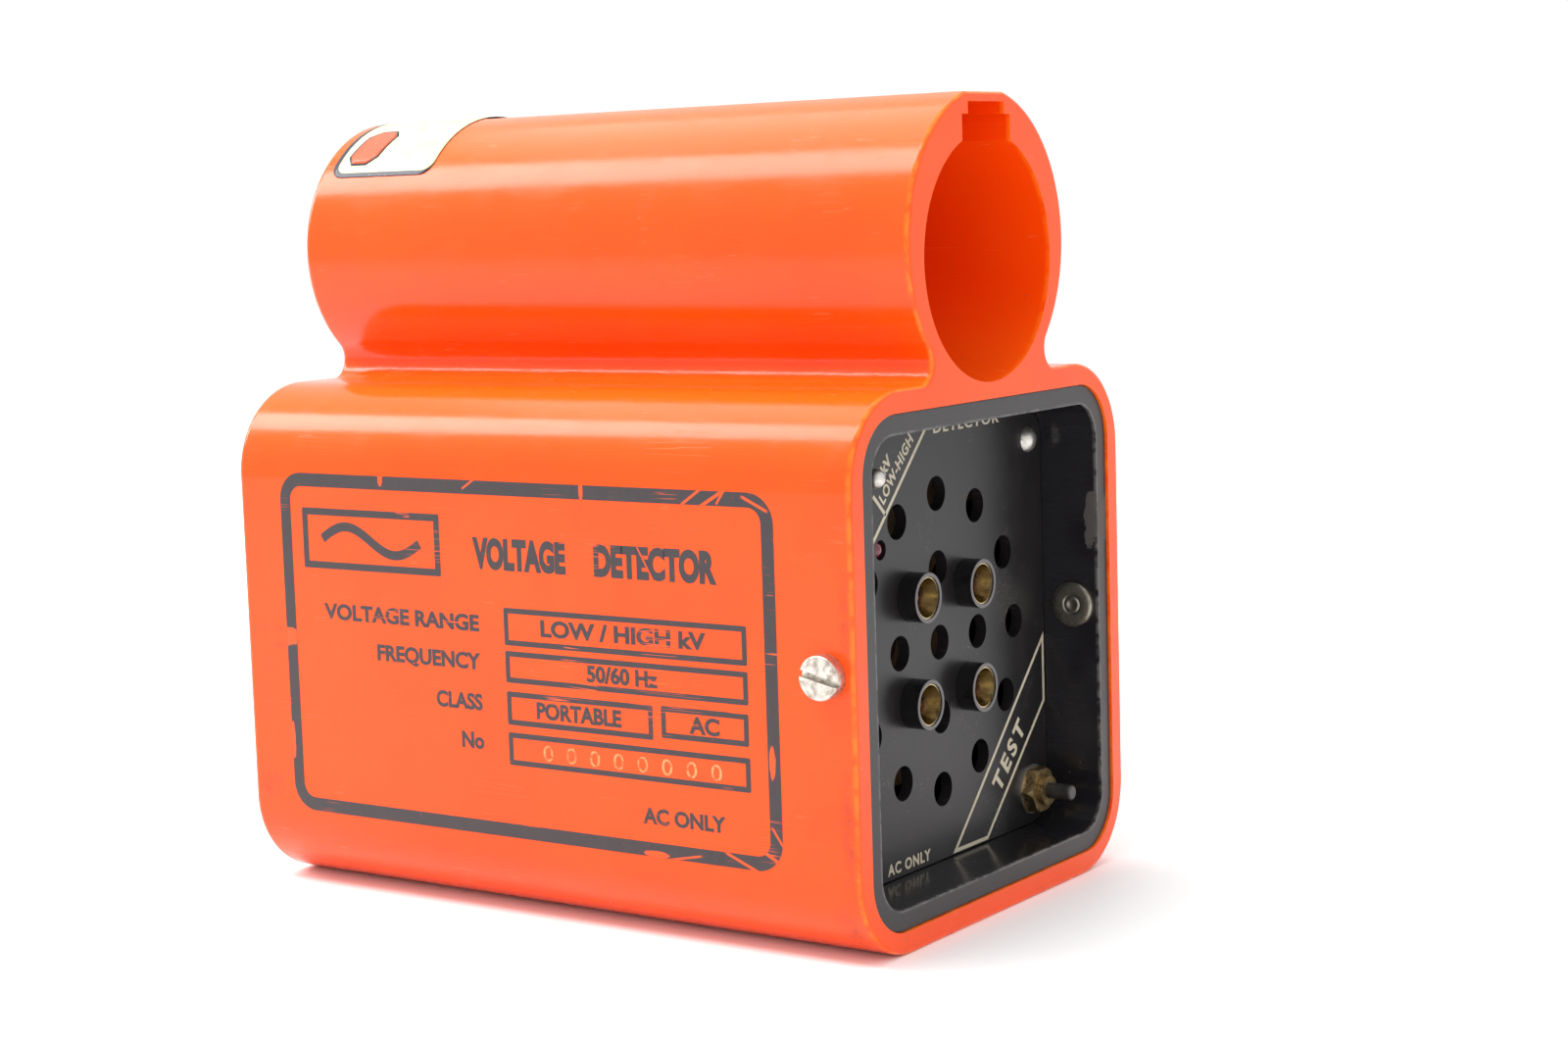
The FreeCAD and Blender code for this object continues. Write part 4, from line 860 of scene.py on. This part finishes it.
def symbol_wave(place, thickness):
    """A sine wave as a thin band, the plain sign for alternating current."""
    steps = 48
    centre = (-31.7, 59.15)
    half_width, height, line = 10.5, 2.1, 0.75
    rows = []
    for i in range(steps + 1):
        share = i / steps
        u = centre[0] + half_width * (2 * share - 1)
        v = centre[1] + height * sin(2 * pi * share)
        slope = height * 2 * pi * cos(2 * pi * share) / (2 * half_width)
        size = sqrt(1 + slope * slope)
        rows.append(((u + slope / size * line, v - line / size),
                     (u - slope / size * line, v + line / size)))
    points = []
    for lift in (-PRINT_SINK, thickness):
        for low, high in rows:
            points += [place(*low, lift), place(*high, lift)]
    faces = []
    top = 2 * len(rows)
    for i in range(steps):
        a, b, c, d = 2 * i, 2 * i + 1, 2 * i + 3, 2 * i + 2
        faces += [(a, b, c, d), (top + a, top + d, top + c, top + b),
                  (a, d, top + d, top + a), (b, top + b, top + c, c)]
    last = 2 * steps
    faces += [(0, top, top + 1, 1), (last, last + 1, top + last + 1, top + last)]
    return points, faces


class DETECTOR_OT_side_print(bpy.types.Operator):
    """Prints the frame, words and value boxes on the side of the housing"""
    bl_idname = "detector.side_print"
    bl_label = "Side print"

    def execute(self, context):
        colours, sizes = settings(context)
        ink = side_ink(colours)
        thick = sizes.ink_thickness / MM
        box_line = sizes.box_line / MM
        frame_line = sizes.frame_line / MM
        frame_piece = film(frame_loops((-51.3, 13.45), (47.4, 69.75), 4.6, frame_line),
                           side_place, thick)
        add_piece("side_frame", *frame_piece, ink, "case_black")
        boxes = [film(frame_loops(low, high, 0.3, box_line), side_place, thick)
                 for low, high in VALUE_BOXES]
        boxes.append(film(frame_loops((-46.5, 54.2), (-16.9, 64.1), 0.3, box_line * 1.35),
                          side_place, thick))
        add_piece("side_boxes", *joined(boxes), ink, "case_black")
        add_piece("side_wave", *symbol_wave(side_place, thick), ink, "case_black")
        words = [lettering("word", text, height, side_place, place, width, align, thick,
                           weight=weight)
                 for text, height, place, width, align, weight in SIDE_WORDS]
        add_piece("side_words", *joined(words), ink, "case_black")
        stamped = Finish("stamped_digits", ior=1.5)
        rub = stamped.noise(2.0, 3.0, 0.6)
        tone = stamped.mix(rub.rise(0.35, 0.65), (0.95, 0.33, 0.12), colours.orange)
        stamped.bump(rub, 0.02)
        stamped.set(base_color=tone, roughness=0.42 + rub * 0.1)
        digits = [lettering("digit", "0", 2.5, side_place, (3.6 + 4.6 * k, 26.3), 2.0, "CENTER",
                            thick * 0.6) for k in range(8)]
        add_piece("stamped_digits", *joined(digits), stamped.material, "housing_orange")
        return {"FINISHED"}


class DETECTOR_OT_panel_print(bpy.types.Operator):
    """Prints the cream bands and words on the front panel"""
    bl_idname = "detector.panel_print"
    bl_label = "Panel print"

    def execute(self, context):
        colours, sizes = settings(context)
        ink = panel_ink(colours)
        thick = sizes.ink_thickness / MM
        line = sizes.panel_line / MM
        band = [(2.6, 7.5), (13.6, 7.5), (33.3, 27.1), (33.3, 38.7)]
        corner = [stroke((-33.0, 45.7), (-2.9, 75.8), line),
                  stroke((-14.9, 63.8), (-18.3, 67.0), line)]
        pieces = [strip(band, line, panel_place, thick)]
        pieces += [flat_solid(outline, panel_place, thick) for outline in corner]
        add_piece("panel_bands", *joined(pieces), ink, "header_cream")
        words = [lettering("word", text, height, panel_place, place, width, "CENTER", thick, turn,
                           weight, spacing)
                 for text, height, place, width, turn, weight, spacing in PANEL_WORDS]
        add_piece("panel_words", *joined(words), ink, "header_cream")
        return {"FINISHED"}


# ---- the sticker on the tube

STICKER_SPAN = (-57.9, -35.2)
STICKER_ANGLES = (54.8, -34.0)
# the tube's outside at the front: radius and height over the bore, and their change to the back
TUBE_RADIUS, TUBE_RADIUS_DRAFT = 23.5, 1.6
TUBE_OVER_BORE, TUBE_RISE = 2.2, 0.5
STICKER_RADIUS = 22.5


def tube_place(x, angle, lift):
    """Point on the tube's outside; angle in degrees from straight up towards the printed side."""
    share = (FRONT - x) / LENGTH
    radius = TUBE_RADIUS - TUBE_RADIUS_DRAFT * share + lift
    height = BORE_Z + TUBE_OVER_BORE + TUBE_RISE * share
    return x, -radius * sin(radians(angle)), height + radius * cos(radians(angle))


def curved_patch(outline, lift_low, lift_high, rows=24):
    """Film that follows the tube inside an outline given as {angle: (x low, x high)} samples."""
    points = []
    count = len(outline)
    for lift in (lift_low, lift_high):
        for angle, low, high in outline:
            points += [tube_place(low + (high - low) * k / rows, angle, lift)
                       for k in range(rows + 1)]
    width = rows + 1
    layer = count * width
    faces = []
    for i in range(count - 1):
        for k in range(rows):
            a = i * width + k
            faces.append((a, a + 1, a + width + 1, a + width))
            faces.append((layer + a, layer + a + width, layer + a + width + 1, layer + a + 1))
    for k in range(rows):
        last = (count - 1) * width + k
        faces.append((k, layer + k, layer + k + 1, k + 1))
        faces.append((last, last + 1, layer + last + 1, layer + last))
    for i in range(count - 1):
        a, b = i * width, (i + 1) * width
        faces.append((a, b, layer + b, layer + a))
        faces.append((a + rows, layer + a + rows, layer + b + rows, b + rows))
    return points, faces


def rounded_outline(x_low, x_high, angle_low, angle_high, corner):
    """Rows (angle, x low, x high) of a rounded rectangle on the tube; corner in millimetres."""
    per_degree = radians(1) * STICKER_RADIUS
    span = (angle_high - angle_low) * per_degree
    rows = []
    stations = [corner * (1 - cos(radians(90 * k / 6))) for k in range(7)]
    stations += [corner + (span - 2 * corner) * k / 16 for k in range(1, 16)]
    stations += [span - corner * (1 - cos(radians(90 * k / 6))) for k in range(6, -1, -1)]
    for station in stations:
        edge = min(station, span - station)
        cut = 0.0
        if edge < corner:
            cut = corner - sqrt(max(corner ** 2 - (corner - edge) ** 2, 0.0))
        rows.append((angle_low + station / per_degree, x_low + cut, x_high - cut))
    return rows


def badge_rows(start, end, half):
    """Rows (angle, x low, x high) of a long octagon between two (x, angle) points of the tube."""
    rows = []
    for share, cut in ((0.0, 0.5), (0.1, 0.75), (0.2, 1.0), (0.4, 1.0), (0.6, 1.0), (0.8, 1.0),
                       (0.9, 0.75), (1.0, 0.5)):
        x = start[0] + (end[0] - start[0]) * share
        angle = start[1] + (end[1] - start[1]) * share
        rows.append((angle, x - half * cut, x + half * cut))
    return rows


class DETECTOR_OT_sticker(bpy.types.Operator):
    """Adds the sticker with its border and blank badge on the tube"""
    bl_idname = "detector.sticker"
    bl_label = "Sticker"

    def execute(self, context):
        colours, sizes = settings(context)
        lift = sizes.sticker_thickness / MM
        x0, x1 = STICKER_SPAN
        low, high = STICKER_ANGLES[1], STICKER_ANGLES[0]
        dark = film_print("sticker_border", (0.015, 0.018, 0.035))
        sheet = curved_patch(rounded_outline(x0, x1, low, high, 2.6), -0.05, lift)
        add_piece("sticker_border", *sheet, dark, "case_black", smooth=True)
        inner = curved_patch(rounded_outline(x0 + 1.0, x1 - 0.05, low, high - 2.2, 2.0), 0,
                             lift + 0.03)
        add_piece("sticker_film", *inner, sticker_film(colours), "header_cream", smooth=True)
        line = curved_patch(badge_rows((-52.4, 48.6), (-51.4, 23.6), 3.4), lift, lift + 0.06, 6)
        add_piece("sticker_badge_line", *line, dark, "case_black", smooth=True)
        orange = film_print("sticker_badge", (0.62, 0.085, 0.02))
        badge = curved_patch(badge_rows((-52.4, 47.5), (-51.4, 24.7), 3.0), lift + 0.05,
                             lift + 0.09, 6)
        add_piece("sticker_badge", *badge, orange, "housing_orange", smooth=True)
        return {"FINISHED"}


# ---- lamps, switches and screws


class DETECTOR_OT_lamps(bpy.types.Operator):
    """Gives the lamp hoods, reflectors and lamps their finishes"""
    bl_idname = "detector.lamps"
    bl_label = "Lamps"

    def execute(self, context):
        colours = settings(context)[0]
        finish_all({
            hood_coat(colours): ["hood_" + place for place in LAMP_PLACES],
            tinted_lens(colours): ["lamp_" + place for place in LAMP_PLACES] + ["power_lamp"],
            gilt_reflector(): ("lamp_reflectors",),
        })
        return {"FINISHED"}


def ring_faces(first, second, around):
    """Faces between two rings of points, each given by the number of its first point."""
    return [(first + k, first + (k + 1) % around, second + (k + 1) % around, second + k)
            for k in range(around)]


def thread_ring(node, low_x, high_x, radius, pitch, depth):
    """Points and faces of thread turns round a bushing, as a closed band with a helical ridge."""
    y, z = middle(node)
    around = 40
    rows = max(int((high_x - low_x) / pitch * 8), 8)
    points = []
    for surface in (0, 1):
        for i in range(rows + 1):
            x = low_x + (high_x - low_x) * i / rows
            for k in range(around):
                angle = 2 * pi * k / around
                wave = 0.5 + 0.5 * cos(2 * pi * (x - low_x) / pitch - angle)
                r = radius - depth - 0.1 if surface == 0 else radius - depth * (1 - wave)
                points.append((x, y + r * cos(angle), z + r * sin(angle)))
    layer = (rows + 1) * around
    faces = []
    for i in range(rows):
        for k in range(around):
            a, b = i * around + k, i * around + (k + 1) % around
            c, d = b + around, a + around
            faces += [(a, b, c, d), (layer + a, layer + d, layer + c, layer + b)]
    for k in range(around):
        n = (k + 1) % around
        end = rows * around
        faces += [(k, layer + k, layer + n, n),
                  (end + k, end + n, layer + end + n, layer + end + k)]
    return points, faces


class DETECTOR_OT_switches(bpy.types.Operator):
    """Finishes both panel switches and adds thread turns to their bushings"""
    bl_idname = "detector.switches"
    bl_label = "Switches"

    def execute(self, context):
        steel = worn_metal("bright_steel", (0.62, 0.60, 0.56), (0.30, 0.26, 0.20), 0.26)
        brass = worn_metal("aged_brass", (0.40, 0.29, 0.14), (0.07, 0.045, 0.025), 0.34, 0.9)
        black = plain_moulding("switch_black", (0.012, 0.012, 0.012), roughness=0.4)
        plunger = plain_moulding("button_black", (0.014, 0.013, 0.013), (0.05, 0.045, 0.04),
                                 roughness=0.28)
        finish_all({
            steel: ("range_lever", "range_switch_nut", "range_switch_washer",
                    "test_switch_washer", "panel_screws", "lamp_board_screws", "board_screws",
                    "test_button_spring"),
            brass: ("range_switch_bushing", "test_switch_bushing", "test_switch_nut",
                    "lamp_board_posts", "board_standoffs", "sounder_diaphragm"),
            black: ("range_switch_body", "test_switch_body", "sounder_case", "sounder_back",
                    "battery_snap", "chips"),
            plunger: ("test_button",),
        })
        for node, name in (("range_switch_bushing", "range_thread"),
                           ("test_switch_bushing", "test_thread")):
            low, high = box_mm(node)
            radius = (high.y - low.y) / 2
            ridge = thread_ring(node, PANEL_FRONT + 0.6, high.x - 0.15, radius + 0.04, 0.5, 0.16)
            add_piece(name, *ridge, brass, "brass_thread", smooth=True)
        return {"FINISHED"}


# turned profile of the cap on an insert's inner end: (radius, height)
CAP_PROFILE = ((3.62, 0.02), (3.45, 0.16), (3.0, 0.27), (1.75, 0.33), (1.62, 0.30), (1.52, 0.14),
               (1.38, 0.14), (1.28, 0.32), (0.95, 0.34), (0.7, 0.22), (0.35, 0.10))


def insert_cap(node, sign):
    """Points and faces of a thin turned cap over the inner end of a side insert."""
    low, high = box_mm(node)
    x, z = (low.x + high.x) / 2, (low.z + high.z) / 2
    inner = low.y if sign > 0 else high.y
    around = 40
    points = []
    for radius, height in ((CAP_PROFILE[0][0], -0.03), *CAP_PROFILE):
        points += [(x + radius * cos(2 * pi * k / around), inner - sign * height,
                    z + radius * sin(2 * pi * k / around)) for k in range(around)]
    faces = []
    for ring in range(len(CAP_PROFILE)):
        faces += ring_faces(ring * around, (ring + 1) * around, around)
    faces.append(tuple(range(around)))
    faces.append(tuple(range(len(CAP_PROFILE) * around, (len(CAP_PROFILE) + 1) * around)))
    return points, faces


class DETECTOR_OT_side_screws(bpy.types.Operator):
    """Finishes the side screws and their inserts"""
    bl_idname = "detector.side_screws"
    bl_label = "Side screws"

    def execute(self, context):
        nickel = worn_metal("screw_nickel", (0.66, 0.62, 0.56), (0.20, 0.15, 0.10), 0.30, 0.7)
        zinc = worn_metal("insert_zinc", (0.30, 0.285, 0.24), (0.13, 0.105, 0.07), 0.30, 0.8)
        finish_all({nickel: ("side_screw_left", "side_screw_right"),
                    zinc: ("side_insert_left", "side_insert_right")})
        for side, sign in (("left", -1), ("right", 1)):
            cap = insert_cap("side_insert_" + side, sign)
            add_piece("insert_cap_" + side, *cap, zinc, "bright_steel", smooth=True)
        return {"FINISHED"}


# finish, nodes, colour, colour of the darker clouds if it is its own, roughness, grain scale
INNER_MOULDINGS = (
    ("board_phenolic", ("lamp_board",), (0.16, 0.09, 0.04), (0.11, 0.06, 0.028), 0.5, 0.6),
    ("capacitor_sleeve", ("capacitors",), (0.02, 0.03, 0.14), None, 0.3),
    ("resistor_body", ("resistors",), (0.48, 0.33, 0.17), None, 0.4),
    ("trimmer_blue", ("trimmer",), (0.02, 0.09, 0.42), None, 0.35),
    ("header_cream", ("lead_header",), (0.62, 0.56, 0.40), None, 0.45),
    ("battery_jacket", ("battery",), (0.05, 0.05, 0.06), (0.03, 0.03, 0.04), 0.3),
    ("spacer_nylon", ("plate_spacers",), (0.70, 0.68, 0.60), None, 0.45),
    ("lead_red", ("battery_lead_red",), (0.32, 0.012, 0.012), None, 0.4),
    ("lead_black", ("battery_lead_black",), (0.012, 0.012, 0.012), None, 0.4))


class DETECTOR_OT_electronics(bpy.types.Operator):
    """Finishes the boards, the parts on them, the battery and its leads"""
    bl_idname = "detector.electronics"
    bl_label = "Electronics"

    def execute(self, context):
        for name, nodes, *looks in INNER_MOULDINGS:
            finish_all({plain_moulding(name, *looks): nodes})
        finish_all({
            circuit_board("board_green", "xz"): ("main_board",),
            worn_metal("plate_copper", (0.60, 0.32, 0.18), (0.25, 0.10, 0.05), 0.3):
                ("sensing_plate",),
        })
        return {"FINISHED"}


OPERATORS = (DETECTOR_OT_stage, DETECTOR_OT_housing, DETECTOR_OT_case, DETECTOR_OT_side_print,
             DETECTOR_OT_panel_print, DETECTOR_OT_sticker, DETECTOR_OT_lamps,
             DETECTOR_OT_switches, DETECTOR_OT_side_screws, DETECTOR_OT_electronics)


class DETECTOR_PT_sidebar(bpy.types.Panel):
    """Lists the detector's settings and operators"""
    bl_label = "Detector"
    bl_idname = "DETECTOR_PT_sidebar"
    bl_space_type = "VIEW_3D"
    bl_region_type = "UI"
    bl_category = "Detector"

    def draw(self, context):
        for group in settings(context):
            for name in group.__annotations__:
                self.layout.prop(group, name)
        for operator in OPERATORS:
            self.layout.operator(operator.bl_idname)


CLASSES = (DetectorColours, DetectorSizes, *OPERATORS, DETECTOR_PT_sidebar)


def register():
    for one in CLASSES:
        bpy.utils.register_class(one)
    bpy.types.Scene.detector_colours = PointerProperty(type=DetectorColours)
    bpy.types.Scene.detector_sizes = PointerProperty(type=DetectorSizes)


def unregister():
    del bpy.types.Scene.detector_sizes
    del bpy.types.Scene.detector_colours
    for one in reversed(CLASSES):
        bpy.utils.unregister_class(one)


def main():
    register()
    for operator in OPERATORS:
        group, name = operator.bl_idname.split(".")
        getattr(getattr(bpy.ops, group), name)()


if __name__ == "__main__":
    main()
